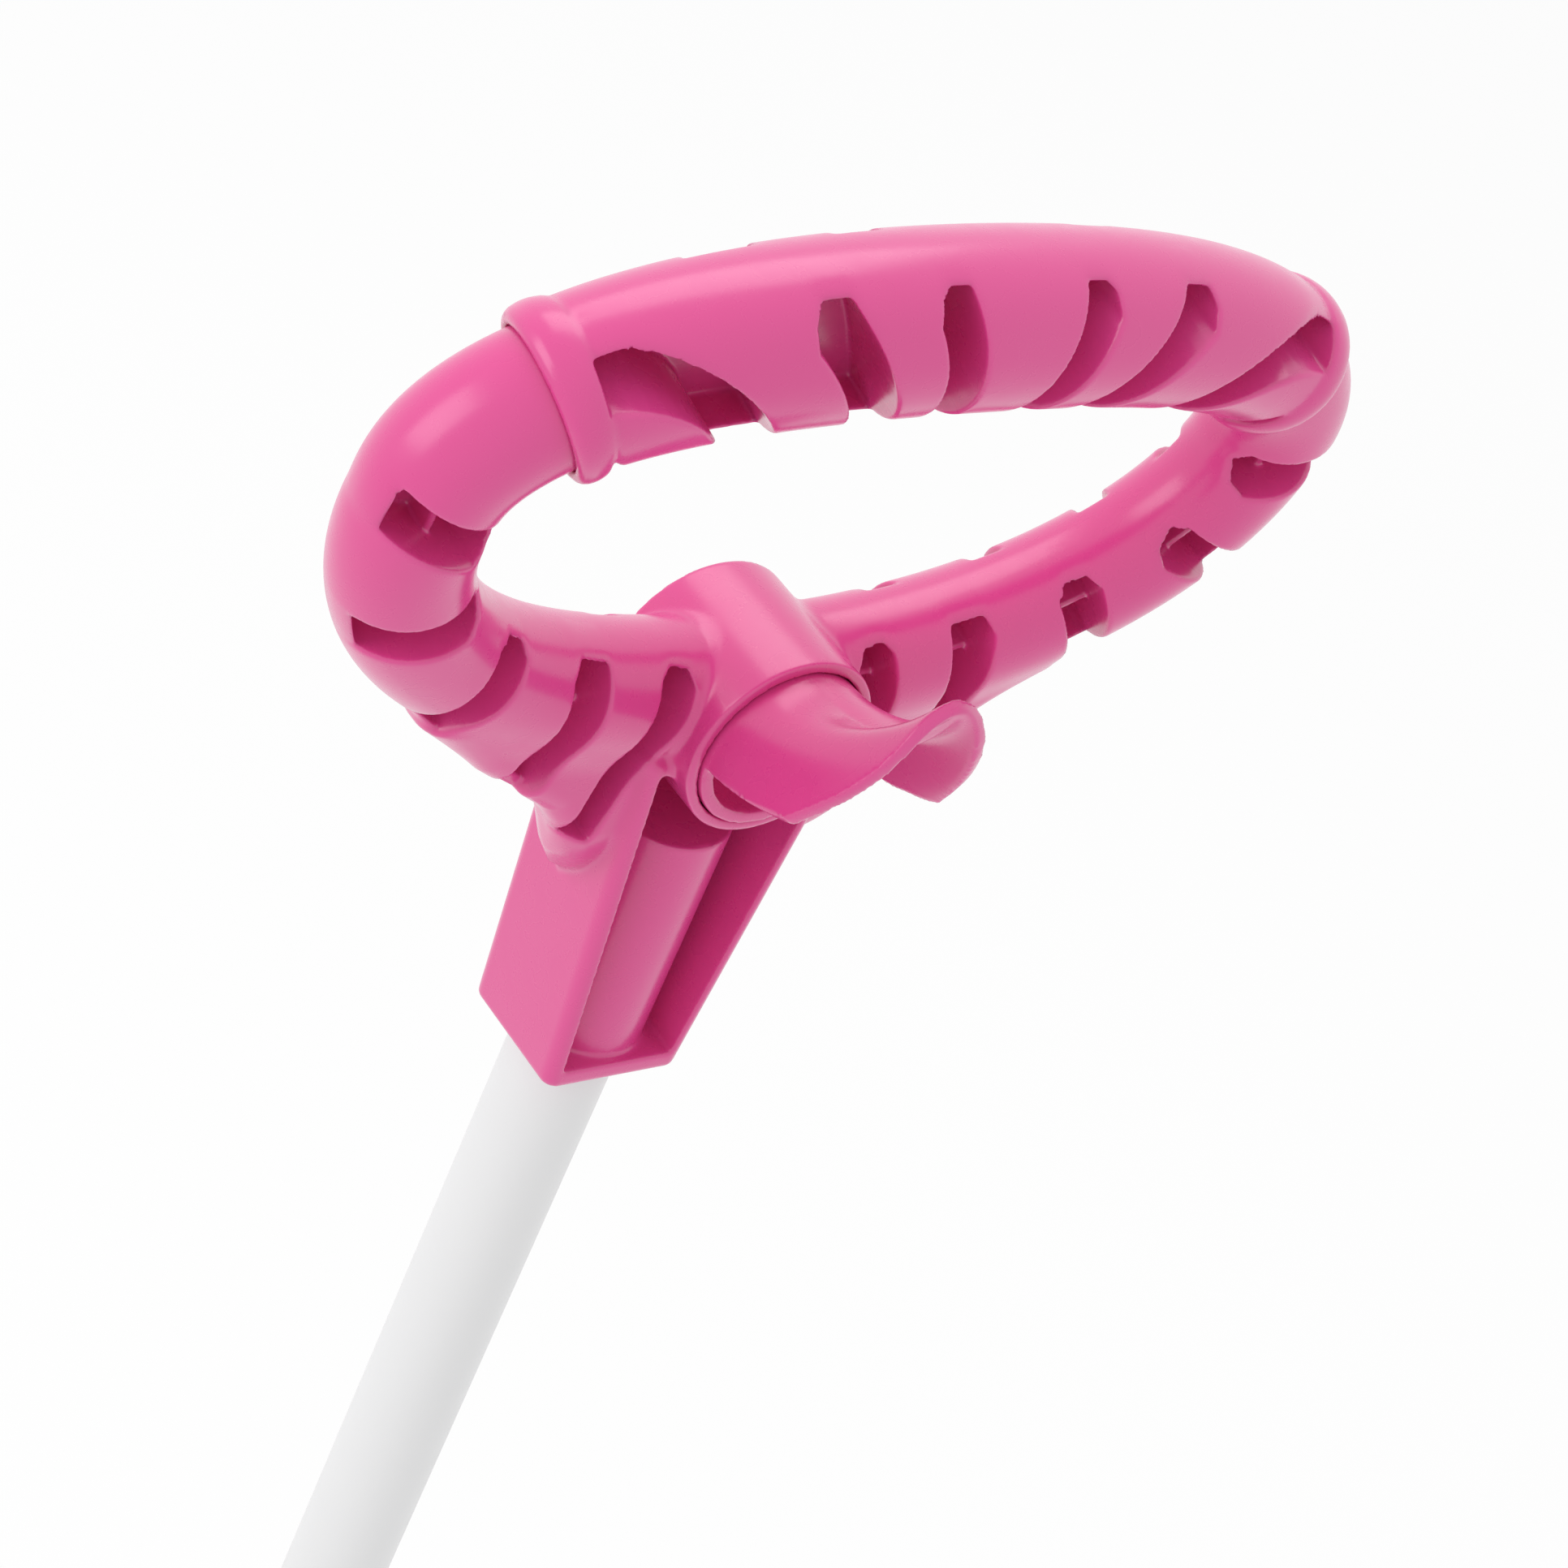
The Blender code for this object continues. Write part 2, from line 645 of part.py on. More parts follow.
def make_grip_screw(name, side):
    """A screw at one end of the grip, driven from the back into the arm's spigot."""
    one = screw(name, GRIP_SCREW_HEAD, SCREW_HEAD_HEIGHT, GRIP_SCREW_LENGTH)
    head_seat = GRIP_END_RADIUS - SCREW_HEAD_HEIGHT
    point = Vector(on_loop([side * GRIP_SCREW_STATION])[0]) + Vector((0.0, head_seat, 0.0))
    one.data.transform(Matrix.Translation(point))
    return leaned(one)


def hook_rim(share):
    """A point on the hook's free edge, from its low corner (0) to the tip of the lip (1)."""
    rise = 1 - (1 - share) ** 2
    half = HOOK_RIM_HALF_WIDTH * (1 - HOOK_TAPER * rise) * math.sqrt(1 - rise**HOOK_TIP_POWER)
    forward = HOOK_RIM_Y - HOOK_LIP_REACH * math.sin(HOOK_LIP_CURL * rise)
    return Vector((half, forward, HOOK_RIM_Z + HOOK_LIP_RISE * rise))


def hook_root(share):
    """The matching point on the plug's round wall."""
    angle = HOOK_LOW_ANGLE + share * (math.pi / 2 - HOOK_LOW_ANGLE)
    radius = BARREL_BORE - PLUG_GAP
    return Vector((radius * math.cos(angle), HOOK_ROOT, radius * math.sin(angle)))


def hook_surface(share, run):
    """A point of the hook's outer skin: run goes from the plug (0) to the rim (1)."""
    first = hook_root(share)
    last = hook_rim(share)
    low = Vector((first.x * (1 - HOOK_WAIST) + last.x * HOOK_WAIST, HOOK_RIM_Y * HOOK_SAG, first.z))
    top = Vector((0.0, HOOK_VALLEY_Y, HOOK_VALLEY_Z))
    weight = share**2
    middle = Vector((low.x, low.y * (1 - weight) + top.y * weight, low.z * (1 - weight) + top.z * weight))
    return first * (1 - run) ** 2 + middle * 2 * run * (1 - run) + last * run**2


def make_hook():
    """A round plug that turns in the barrel, drawn out into a scoop with a raised lip."""
    mesh = bpy.data.meshes.new("hook_shell")
    shape = bmesh.new()
    bmesh.ops.create_grid(shape, x_segments=HOOK_COLUMNS, y_segments=HOOK_ROWS, size=1.0)
    for point in shape.verts:
        across = point.co.x
        run = (point.co.y + 1) / 2
        place = hook_surface(1 - abs(across), run)
        point.co = (math.copysign(place.x, across), place.y, place.z)
    bmesh.ops.recalc_face_normals(shape, faces=shape.faces)
    middle = min(shape.faces, key=lambda face: (face.calc_center_median() - HOOK_CREST).length)
    if middle.normal.z < 0:
        bmesh.ops.reverse_faces(shape, faces=shape.faces)
    shape.to_mesh(mesh)
    shape.free()
    shell = link("hook", mesh)
    skin = shell.modifiers.new("wall", "SOLIDIFY")
    skin.thickness = HOOK_WALL
    skin.offset = -1.0
    skin.use_even_offset = False
    shell = as_mesh(shell)

    plug_radius = BARREL_BORE - PLUG_GAP - HOOK_SKIN
    back = BARREL_FLOOR_FRONT - SEAT_GAP
    front = BARREL_FRONT - PLUG_PROUD
    cup_floor = front + PLUG_CUP_DEPTH
    cup = plug_radius - HOOK_WALL
    pivot_end = BARREL_FLOOR_FRONT + BARREL_FLOOR + SEAT_GAP / 2
    pilot_end = hook_screw_seat() - HOOK_SCREW_LENGTH - PLUG_GAP
    pilot = SCREW_SHANK + PLUG_GAP
    plug = turned(
        "plug",
        (
            (0.0, cup_floor),
            (cup, cup_floor),
            (cup, front),
            (plug_radius, front),
            (plug_radius, back),
            (PIVOT_RADIUS, back),
            (PIVOT_RADIUS, pivot_end),
            (pilot, pivot_end),
            (pilot, pilot_end),
            (0.0, pilot_end),
        ),
    )
    return combine(shell, [plug], "UNION")


def hook_screw_seat():
    """Where the underside of the hook screw's head lies along Y."""
    washer_back = BARREL_FLOOR_FRONT + BARREL_FLOOR + SEAT_GAP + WASHER_THICKNESS
    return washer_back + SEAT_GAP


def make_hook_screw():
    """The screw that draws the hook's pivot against the washer."""
    one = screw("hook_screw", HOOK_SCREW_HEAD, SCREW_HEAD_HEIGHT, HOOK_SCREW_LENGTH)
    one.data.transform(Matrix.Translation((0.0, hook_screw_seat(), 0.0)))
    return one


def make_hook_washer():
    """A flat washer that bears on the barrel's floor."""
    front = BARREL_FLOOR_FRONT + BARREL_FLOOR + SEAT_GAP
    hole = SCREW_SHANK + PLUG_GAP
    back = front + WASHER_THICKNESS
    return turned(
        "hook_washer",
        ((hole, front), (WASHER_RADIUS, front), (WASHER_RADIUS, back), (hole, back)),
    )


def make_barrel_cap():
    """A thin disc that closes the back of the barrel."""
    radius = BARREL_RECESS_RADIUS - PLUG_GAP
    front = BARREL_BACK - REAR_CAP_THICKNESS
    return turned(
        "barrel_cap",
        (
            (0.0, front),
            (radius, front),
            (radius, BARREL_BACK - EDGE_BREAK),
            (radius - EDGE_BREAK, BARREL_BACK),
            (0.0, BARREL_BACK),
        ),
    )


def make_tube():
    """The straight tube, from the cap's floor to the end of the stem's socket."""
    low = CAP_FLOOR + SEAT_GAP - AXIS_HEIGHT
    high = TUBE_SOCKET_TOP - SEAT_GAP
    inner = TUBE_RADIUS - TUBE_WALL
    profile = ((inner, low), (TUBE_RADIUS, low), (TUBE_RADIUS, high), (inner, high))
    made = upright(turned("pole_tube", profile))
    return combine(made, [tube_screw_hole(SCREW_SHANK + PLUG_GAP)], "DIFFERENCE")


def make_tube_screw():
    """The screw that holds the tube in the stem."""
    one = screw("pole_screw", TUBE_SCREW_HEAD, SCREW_HEAD_HEIGHT, TUBE_SCREW_LENGTH)
    one.data.transform(Matrix.Translation((0.0, STEM_BACK + SEAT_GAP, TUBE_SCREW_HEIGHT)))
    return one


def make_end_cap():
    """A cup on the tube's far end, with a flat foot."""
    hole = TUBE_RADIUS + PLUG_GAP
    profile = (
        (0.0, 0.0),
        (CAP_RADIUS - 2 * EDGE_BREAK, 0.0),
        (CAP_RADIUS, 2 * EDGE_BREAK),
        (CAP_RADIUS, CAP_HEIGHT - EDGE_BREAK),
        (CAP_RADIUS - EDGE_BREAK, CAP_HEIGHT),
        (hole, CAP_HEIGHT),
        (hole, CAP_FLOOR),
        (0.0, CAP_FLOOR),
    )
    made = upright(turned("pole_end_cap", profile))
    made.data.transform(Matrix.Translation((0.0, 0.0, -AXIS_HEIGHT)))
    return made


def build():
    """Make every piece and hang it on the frame at the barrel's axis."""
    clear_scene()
    pink = material("pink_plastic", PINK, 0.28)
    white = material("white_coated_tube", WHITE, 0.35)
    steel = material("zinc_steel", STEEL, 0.35, 1.0)
    grey = material("grey_rubber", GREY, 0.75)
    pieces = (
        (make_yoke(), pink),
        (make_grip(), pink),
        (make_grip_screw("grip_screw_right", 1.0), steel),
        (make_grip_screw("grip_screw_left", -1.0), steel),
        (make_hook(), pink),
        (make_hook_screw(), steel),
        (make_hook_washer(), steel),
        (make_barrel_cap(), pink),
        (make_tube(), white),
        (make_tube_screw(), steel),
        (make_end_cap(), grey),
    )
    shelf = bpy.data.collections.new("dressing_stick")
    bpy.context.scene.collection.children.link(shelf)
    frame = bpy.data.objects.new("barrel_axis", None)
    frame.location = (0.0, 0.0, AXIS_HEIGHT)
    shelf.objects.link(frame)
    for piece, finish in pieces:
        piece.data.materials.clear()
        piece.data.materials.append(finish)
        bpy.context.scene.collection.objects.unlink(piece)
        shelf.objects.link(piece)
        piece.parent = frame
    bpy.context.view_layer.update()


build()
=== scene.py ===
"""Looks of the dressing stick: moulded hand loop, swivelling hook, coated tube and its fasteners.

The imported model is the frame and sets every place. The two big mouldings are worked out as fields of
distances to their surfaces, which gives them the blends and soft edges of a moulded piece. Fields
and profiles are in millimetres, measured from the point where the hook's barrel crosses the tube's
axis. Finished meshes are in metres in the row frame.
"""

from __future__ import annotations

import itertools
import json
import logging
import math
from dataclasses import dataclass
from enum import Enum

import bmesh
import bpy
import numpy as np
import openvdb
from mathutils import Matrix, Vector

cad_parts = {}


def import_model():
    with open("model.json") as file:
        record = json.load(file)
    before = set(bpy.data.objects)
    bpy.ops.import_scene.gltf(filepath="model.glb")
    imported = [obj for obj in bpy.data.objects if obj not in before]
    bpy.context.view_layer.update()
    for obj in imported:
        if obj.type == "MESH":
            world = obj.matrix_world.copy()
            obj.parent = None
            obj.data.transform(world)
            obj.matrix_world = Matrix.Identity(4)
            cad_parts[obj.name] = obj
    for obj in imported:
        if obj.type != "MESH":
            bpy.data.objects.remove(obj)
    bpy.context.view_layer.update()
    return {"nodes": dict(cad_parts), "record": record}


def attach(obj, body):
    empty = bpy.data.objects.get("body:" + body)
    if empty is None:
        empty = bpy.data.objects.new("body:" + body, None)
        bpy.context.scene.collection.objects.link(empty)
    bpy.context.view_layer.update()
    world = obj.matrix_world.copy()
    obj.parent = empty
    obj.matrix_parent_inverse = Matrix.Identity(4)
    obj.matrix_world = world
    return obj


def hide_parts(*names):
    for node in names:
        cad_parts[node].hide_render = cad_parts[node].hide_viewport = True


LOG = logging.getLogger("dressing_stick")
MM = 0.001
ROUND_STEPS = 96

Point = tuple[float, float]
Colour = tuple[float, float, float, float]


class Body(Enum):
    """Rigid bodies of the frame that pieces ride on."""

    STICK = "stick"
    HOOK = "hook"


class Slot(Enum):
    """Material slots of the record."""

    PINK = "pink_plastic"
    TUBE = "white_tube"
    STEEL = "steel"
    RUBBER = "grey_rubber"


class Face(Enum):
    """The two faces of the hand loop."""

    FRONT = "front"
    BACK = "back"


# Field arithmetic


def blend_union(first: np.ndarray, second: np.ndarray, fillet: float) -> np.ndarray:
    """Join two fields with a fillet where they meet.

    Args:
        first: Distances to one solid, negative inside.
        second: Distances to the other solid.
        fillet: Size of the blend in millimetres.

    Returns:
        Distances to the joined solid.
    """
    share = np.clip(0.5 + 0.5 * (second - first) / fillet, 0.0, 1.0)
    return second + (first - second) * share - fillet * share * (1.0 - share)


def blend_cut(solid: np.ndarray, tool: np.ndarray, edge: float) -> np.ndarray:
    """Take a tool's field out of a solid's field and soften the edge that this leaves.

    Args:
        solid: Distances to the solid, negative inside.
        tool: Distances to the tool, negative inside.
        edge: Size of the softened edge in millimetres.

    Returns:
        Distances to what is left.
    """
    return -blend_union(-solid, tool, edge)


def blend_common(first: np.ndarray, second: np.ndarray, edge: float) -> np.ndarray:
    """Keep what two fields share, with a softened edge.

    Args:
        first: Distances to one solid, negative inside.
        second: Distances to the other solid.
        edge: Size of the softened edge in millimetres.

    Returns:
        Distances to the shared solid.
    """
    return -blend_union(-first, -second, edge)


def extrusion(outline: np.ndarray, depth: np.ndarray, rounding: float) -> np.ndarray:
    """Give a flat outline a depth, with rounded edges.

    Args:
        outline: Distances to the outline in its plane.
        depth: Distances to the two end faces.
        rounding: Edge radius in millimetres.

    Returns:
        Distances to the rounded plate.
    """
    across = outline + rounding
    along = depth + rounding
    outside = np.hypot(np.maximum(across, 0.0), np.maximum(along, 0.0))
    return outside + np.minimum(np.maximum(across, along), 0.0) - rounding


def bezier(ends: tuple[Point, ...], steps: int) -> np.ndarray:
    """Sample a Bezier curve of any order.

    Args:
        ends: Control points.
        steps: Number of samples.

    Returns:
        Array of sample points.
    """
    points = np.array(ends, float)
    order = len(points) - 1
    share = np.linspace(0.0, 1.0, steps)[:, None]
    total = np.zeros((steps, 2))
    for index, end in enumerate(points):
        total += math.comb(order, index) * (1.0 - share) ** (order - index) * share**index * end
    return total


def line_distance(line: np.ndarray, x: np.ndarray, c: np.ndarray) -> tuple[np.ndarray, np.ndarray]:
    """Measure from points of a plane to a polyline.

    Args:
        line: Corner points of the polyline.
        x: Places across, as a column.
        c: Places up, as a row.

    Returns:
        Distance to the nearest point of the line, and that point's running length along the line.
    """
    best = np.full((x.size, c.size), np.inf)
    station = np.zeros_like(best)
    run = 0.0
    for start, end in zip(line[:-1], line[1:]):
        step = end - start
        length = float(np.hypot(*step))
        share = np.clip(((x - start[0]) * step[0] + (c - start[1]) * step[1]) / length**2, 0.0, 1.0)
        gap = (x - start[0] - share * step[0]) ** 2 + (c - start[1] - share * step[1]) ** 2
        closer = gap < best
        best = np.where(closer, gap, best)
        station = np.where(closer, run + share * length, station)
        run += length
    return np.sqrt(best).astype(np.float32), station.astype(np.float32)


def outline_distance(outline: np.ndarray, x: np.ndarray, c: np.ndarray) -> np.ndarray:
    """Measure from points of a plane to a closed outline, negative inside.

    Args:
        outline: Corner points in order.
        x: Places across, as a column.
        c: Places up, as a row.

    Returns:
        Signed distances.
    """
    closed = np.concatenate((outline, outline[:1]))
    gap, _ = line_distance(closed, x, c)
    inside = np.zeros((x.size, c.size), bool)
    for start, end in zip(closed[:-1], closed[1:]):
        spans = (start[1] > c) != (end[1] > c)
        rise = end[1] - start[1]
        slope = (end[0] - start[0]) / rise if rise else 0.0
        inside ^= spans & (x < start[0] + slope * (c - start[1]))
    return np.where(inside, -gap, gap)


def sampled(field: np.ndarray, spots: np.ndarray) -> np.ndarray:
    """Read a field between its sample points.

    Args:
        field: Values on a regular grid.
        spots: Places counted in grid steps.

    Returns:
        One value for each place.
    """
    low = np.clip(np.floor(spots).astype(int), 0, np.array(field.shape) - 2)
    share = spots - low
    total = np.zeros(len(spots))
    for corner in itertools.product((0, 1), repeat=3):
        weight = np.prod(np.where(corner, share, 1.0 - share), axis=1)
        total += weight * field[tuple((low + corner).T)]
    return total


def shared_mesh(name: str, points: np.ndarray, faces: list) -> bpy.types.Object:
    """Make a smooth-shaded object with outward faces.

    Args:
        name: Name of the object.
        points: Corner points in metres in the row frame.
        faces: Corner indices of each face.

    Returns:
        The new object, linked to the scene.
    """
    mesh = bpy.data.meshes.new(name)
    mesh.from_pydata(points, [], faces)
    mesh.validate()
    thing = bpy.data.objects.new(name, mesh)
    bpy.context.scene.collection.objects.link(thing)
    shape = bmesh.new()
    shape.from_mesh(mesh)
    bmesh.ops.recalc_face_normals(shape, faces=shape.faces)
    if shape.calc_volume(signed=True) < 0.0:
        bmesh.ops.reverse_faces(shape, faces=shape.faces)
    shape.to_mesh(mesh)
    shape.free()
    mesh.shade_smooth()
    return thing


def applied(thing: bpy.types.Object) -> bpy.types.Object:
    """Turn an object's modifiers into its own mesh.

    Args:
        thing: Object with modifiers.

    Returns:
        The same object with a plain mesh.
    """
    bpy.context.view_layer.update()
    graph = bpy.context.evaluated_depsgraph_get()
    mesh = bpy.data.meshes.new_from_object(thing.evaluated_get(graph))
    thing.modifiers.clear()
    thing.data = mesh
    return thing


def turned(name: str, profile: list[Point], steps: int, place: Matrix) -> bpy.types.Object:
    """Turn a profile about its axis into a closed solid.

    Args:
        name: Name of the object.
        profile: Points of (radius, height) in millimetres, as a closed loop.
        steps: Number of steps around.
        place: Where the axis goes: heights run along its local Z, in metres.

    Returns:
        The new object.
    """
    shape = bmesh.new()
    corners = [shape.verts.new((radius * MM, 0.0, height * MM)) for radius, height in profile]
    edges = [shape.edges.new(pair) for pair in zip(corners, corners[1:] + corners[:1])]
    bmesh.ops.spin(
        shape,
        geom=corners + edges,
        cent=(0.0, 0.0, 0.0),
        axis=(0.0, 0.0, 1.0),
        angle=2.0 * math.pi,
        steps=steps,
        use_merge=True,
    )
    bmesh.ops.remove_doubles(shape, verts=shape.verts, dist=1e-7)
    bmesh.ops.dissolve_degenerate(shape, edges=shape.edges, dist=1e-8)
    points = np.array([place @ vert.co for vert in shape.verts])
    shape.verts.index_update()
    faces = [[vert.index for vert in face.verts] for face in shape.faces if len(face.verts) > 2]
    shape.free()
    return shared_mesh(name, points, faces)


def fillet(corner: Point, before: Point, after: Point, radius: float, steps: int = 5) -> list[Point]:
    """Round one corner of a profile.

    Args:
        corner: The sharp corner.
        before: Profile point before it.
        after: Profile point after it.
        radius: How far back from the corner the curve starts and ends.
        steps: Points on the curve.

    Returns:
        Profile points in order.
    """
    middle = Vector(corner)
    first = middle + (Vector(before) - middle).normalized() * radius
    last = middle + (Vector(after) - middle).normalized() * radius
    return [tuple(point) for point in bezier((tuple(first), corner, tuple(last)), steps)]


@dataclass(frozen=True)
class Frame:
    """Where the barrel crosses the tube, and how the hand loop leans there."""

    height: float
    lean: float = math.radians(10.5)
    foot: tuple[float, float, float] = (0.0, -2.4, 3.4)

    def stick(self) -> Matrix:
        """Give the matrix from millimetres about the crossing to metres in the row frame."""
        return Matrix.Translation((0.0, 0.0, self.height)) @ Matrix.Diagonal((MM, MM, MM, 1.0))

    def barrel(self) -> Matrix:
        """Give the matrix that lays a turned profile's heights along the barrel, to the back."""
        return Matrix.Translation((0.0, 0.0, self.height)) @ Matrix.Rotation(-math.pi / 2, 4, "X")

    def loop(self) -> Matrix:
        """Give the matrix from millimetres in the loop's leaning plane to the row frame."""
        return self.stick() @ Matrix.Translation(self.foot) @ Matrix.Rotation(self.lean, 4, "X")


@dataclass(frozen=True)
class Block:
    """Sample points in the loop's plane: x across from the middle, h to the front, c up."""

    half_width: float
    front: Point
    height: Point
    step: float
    slope_reach: float = 1.5

    def axes(self) -> tuple[np.ndarray, np.ndarray, np.ndarray]:
        """Give the places across, to the front and up, shaped to combine into a volume."""
        x = np.arange(self.step / 2, self.half_width, self.step, np.float32)
        h = np.arange(self.front[0], self.front[1], self.step, np.float32)
        c = np.arange(self.height[0], self.height[1], self.step, np.float32)
        return x[:, None, None], h[None, :, None], c[None, None, :]

    def skin(self, name: str, field: np.ndarray, place: Matrix, keep: float) -> bpy.types.Object:
        """Mesh the surface where a field is zero.

        Args:
            name: Name of the object.
            field: Distances at the sample points of both halves.
            place: Matrix from the loop's plane to the row frame.
            keep: Share of the faces to keep.

        Returns:
            The new object.
        """
        grid = openvdb.FloatGrid()
        grid.copyFromArray(field.astype(np.float32))
        points, quads = grid.convertToQuads(0.0)
        local = np.empty((len(points), 3))
        local[:, 0] = (points[:, 0] + 0.5 - len(field) / 2) * self.step
        local[:, 1] = -(points[:, 1] * self.step + self.front[0])
        local[:, 2] = points[:, 2] * self.step + self.height[0]
        turn = np.array(place)
        thing = shared_mesh(name, local @ turn[:3, :3].T + turn[:3, 3], quads.tolist())
        ease = thing.modifiers.new("ease", "SMOOTH")
        ease.factor = 0.5
        ease.iterations = 1
        fewer = thing.modifiers.new("fewer", "DECIMATE")
        fewer.ratio = keep
        applied(thing)
        thing.data.shade_smooth()
        self.set_normals(thing.data, field, place)
        return thing

    def set_normals(self, mesh: bpy.types.Mesh, field: np.ndarray, place: Matrix) -> None:
        """Shade a skin by the slope of its field, which is smooth where the faces are not.

        Args:
            mesh: The skin.
            field: Distances at the sample points of both halves.
            place: Matrix from the loop's plane to the row frame.
        """
        count = len(mesh.vertices)
        points = np.empty(count * 3)
        mesh.vertices.foreach_get("co", points)
        back = np.array(place.inverted())
        local = points.reshape(-1, 3) @ back[:3, :3].T + back[:3, 3]
        spots = np.empty_like(local)
        spots[:, 0] = local[:, 0] / self.step - 0.5 + len(field) / 2
        spots[:, 1] = (-local[:, 1] - self.front[0]) / self.step
        spots[:, 2] = (local[:, 2] - self.height[0]) / self.step
        slope = np.empty_like(local)
        for axis, way in enumerate((1.0, -1.0, 1.0)):
            shift = np.zeros(3)
            shift[axis] = self.slope_reach
            slope[:, axis] = way * (sampled(field, spots + shift) - sampled(field, spots - shift))
        normals = slope @ np.array(place)[:3, :3].T
        normals /= np.linalg.norm(normals, axis=1)[:, None]
        mesh.normals_split_custom_set_from_vertices(normals.tolist())


# Hand loop


@dataclass(frozen=True)
class Window:
    """A curved slot in the loop's plane: its two ends, its bend and its width at both ends."""

    start: Point
    bend: Point
    end: Point
    width: float
    end_width: float

    def outline(self) -> np.ndarray:
        """Give the slot's outline, with the corners at its start cut back."""
        steps = 14
        spine = bezier((self.start, self.bend, self.end), steps)
        along = np.gradient(spine, axis=0)
        along /= np.linalg.norm(along, axis=1)[:, None]
        across = np.stack((-along[:, 1], along[:, 0]), axis=1)
        half = np.linspace(self.width, self.end_width, steps)[:, None] / 2
        left = spine + across * half
        right = spine - across * half
        corner = self.width / 4
        left[0] += along[0] * corner
        right[0] += along[0] * corner
        nose = self.width / 2 - corner
        tip = np.array((spine[0] - across[0] * nose, spine[0] + across[0] * nose))
        return np.concatenate((tip, left, right[::-1]))


@dataclass
class HandLoop:
    """Centre line and bars of the hand loop, shared by the yoke and the cross grip."""

    half_width: float = 69.4
    crown: float = 67.3
    belly: float = 39.5
    sill: float = -1.4
    crown_reach: float = 76.8
    shoulder: float = 43.2
    elbow: float = 18.0
    sill_reach: float = 45.5
    grip_half_length: float = 62.3
    arm_radius: float = 9.1
    grip_radius: float = 11.6
    grip_end_radius: float = 10.4
    wall: float = 2.0
    front_floor: float = -1.4
    back_floor: float = -2.6
    samples: int = 90
    rim_blend: float = 0.3
    floor_blend: float = 0.5
    slot_blend: float = 0.4

    def centre_line(self) -> tuple[np.ndarray, np.ndarray]:
        """Give the right half's points from crown to sill, and their running lengths."""
        belly = (self.half_width, self.belly)
        upper = bezier(
            ((0.0, self.crown), (self.crown_reach, self.crown), (self.half_width, self.shoulder), belly),
            self.samples,
        )
        lower = bezier(
            (belly, (self.half_width, self.elbow), (self.sill_reach, self.sill), (0.0, self.sill)),
            self.samples,
        )
        points = np.concatenate((upper, lower[1:]))
        steps = np.linalg.norm(np.diff(points, axis=0), axis=1)
        return points, np.concatenate(((0.0,), np.cumsum(steps)))

    def stretch(self, low: float, high: float) -> np.ndarray:
        """Give the part of the centre line between two lengths from the crown.

        Args:
            low: First length; below zero is on the left half.
            high: Last length.

        Returns:
            Points of that stretch.
        """
        points, lengths = self.centre_line()
        stations = np.linspace(low, min(high, lengths[-1]), 2 * self.samples)
        x = np.interp(np.abs(stations), lengths, points[:, 0]) * np.sign(stations)
        c = np.interp(np.abs(stations), lengths, points[:, 1])
        return np.stack((x, c), axis=1)

    def pockets(
        self,
        windows: tuple[Window, ...],
        core: np.ndarray,
        rim: float,
        face: Face,
        axes: tuple[np.ndarray, np.ndarray, np.ndarray],
    ) -> np.ndarray:
        """Give the hollow behind a row of windows.

        Args:
            windows: Slots of one face.
            core: Distances to the space inside the bar's wall.
            rim: Height over the loop's plane from which the slots are open at their ends.
            face: Which face the windows are in.
            axes: Sample points.

        Returns:
            Distances to the hollow.
        """
        x, h, c = axes
        flat_x = x[:, :, 0]
        flat_c = c[0]
        slot = np.full((x.size, c.size), np.inf, np.float32)
        for window in windows:
            slot = np.minimum(slot, outline_distance(window.outline(), flat_x, flat_c))
        if face is Face.FRONT:
            over_rim = rim - h
            under_floor = self.front_floor - h
        else:
            over_rim = h + rim
            under_floor = h - self.back_floor
        reach = blend_union(np.broadcast_to(over_rim, core.shape), core, self.rim_blend)
        reach = blend_common(reach, np.broadcast_to(under_floor, core.shape), self.floor_blend)
        return blend_common(np.broadcast_to(slot[:, None, :], core.shape), reach, self.slot_blend)


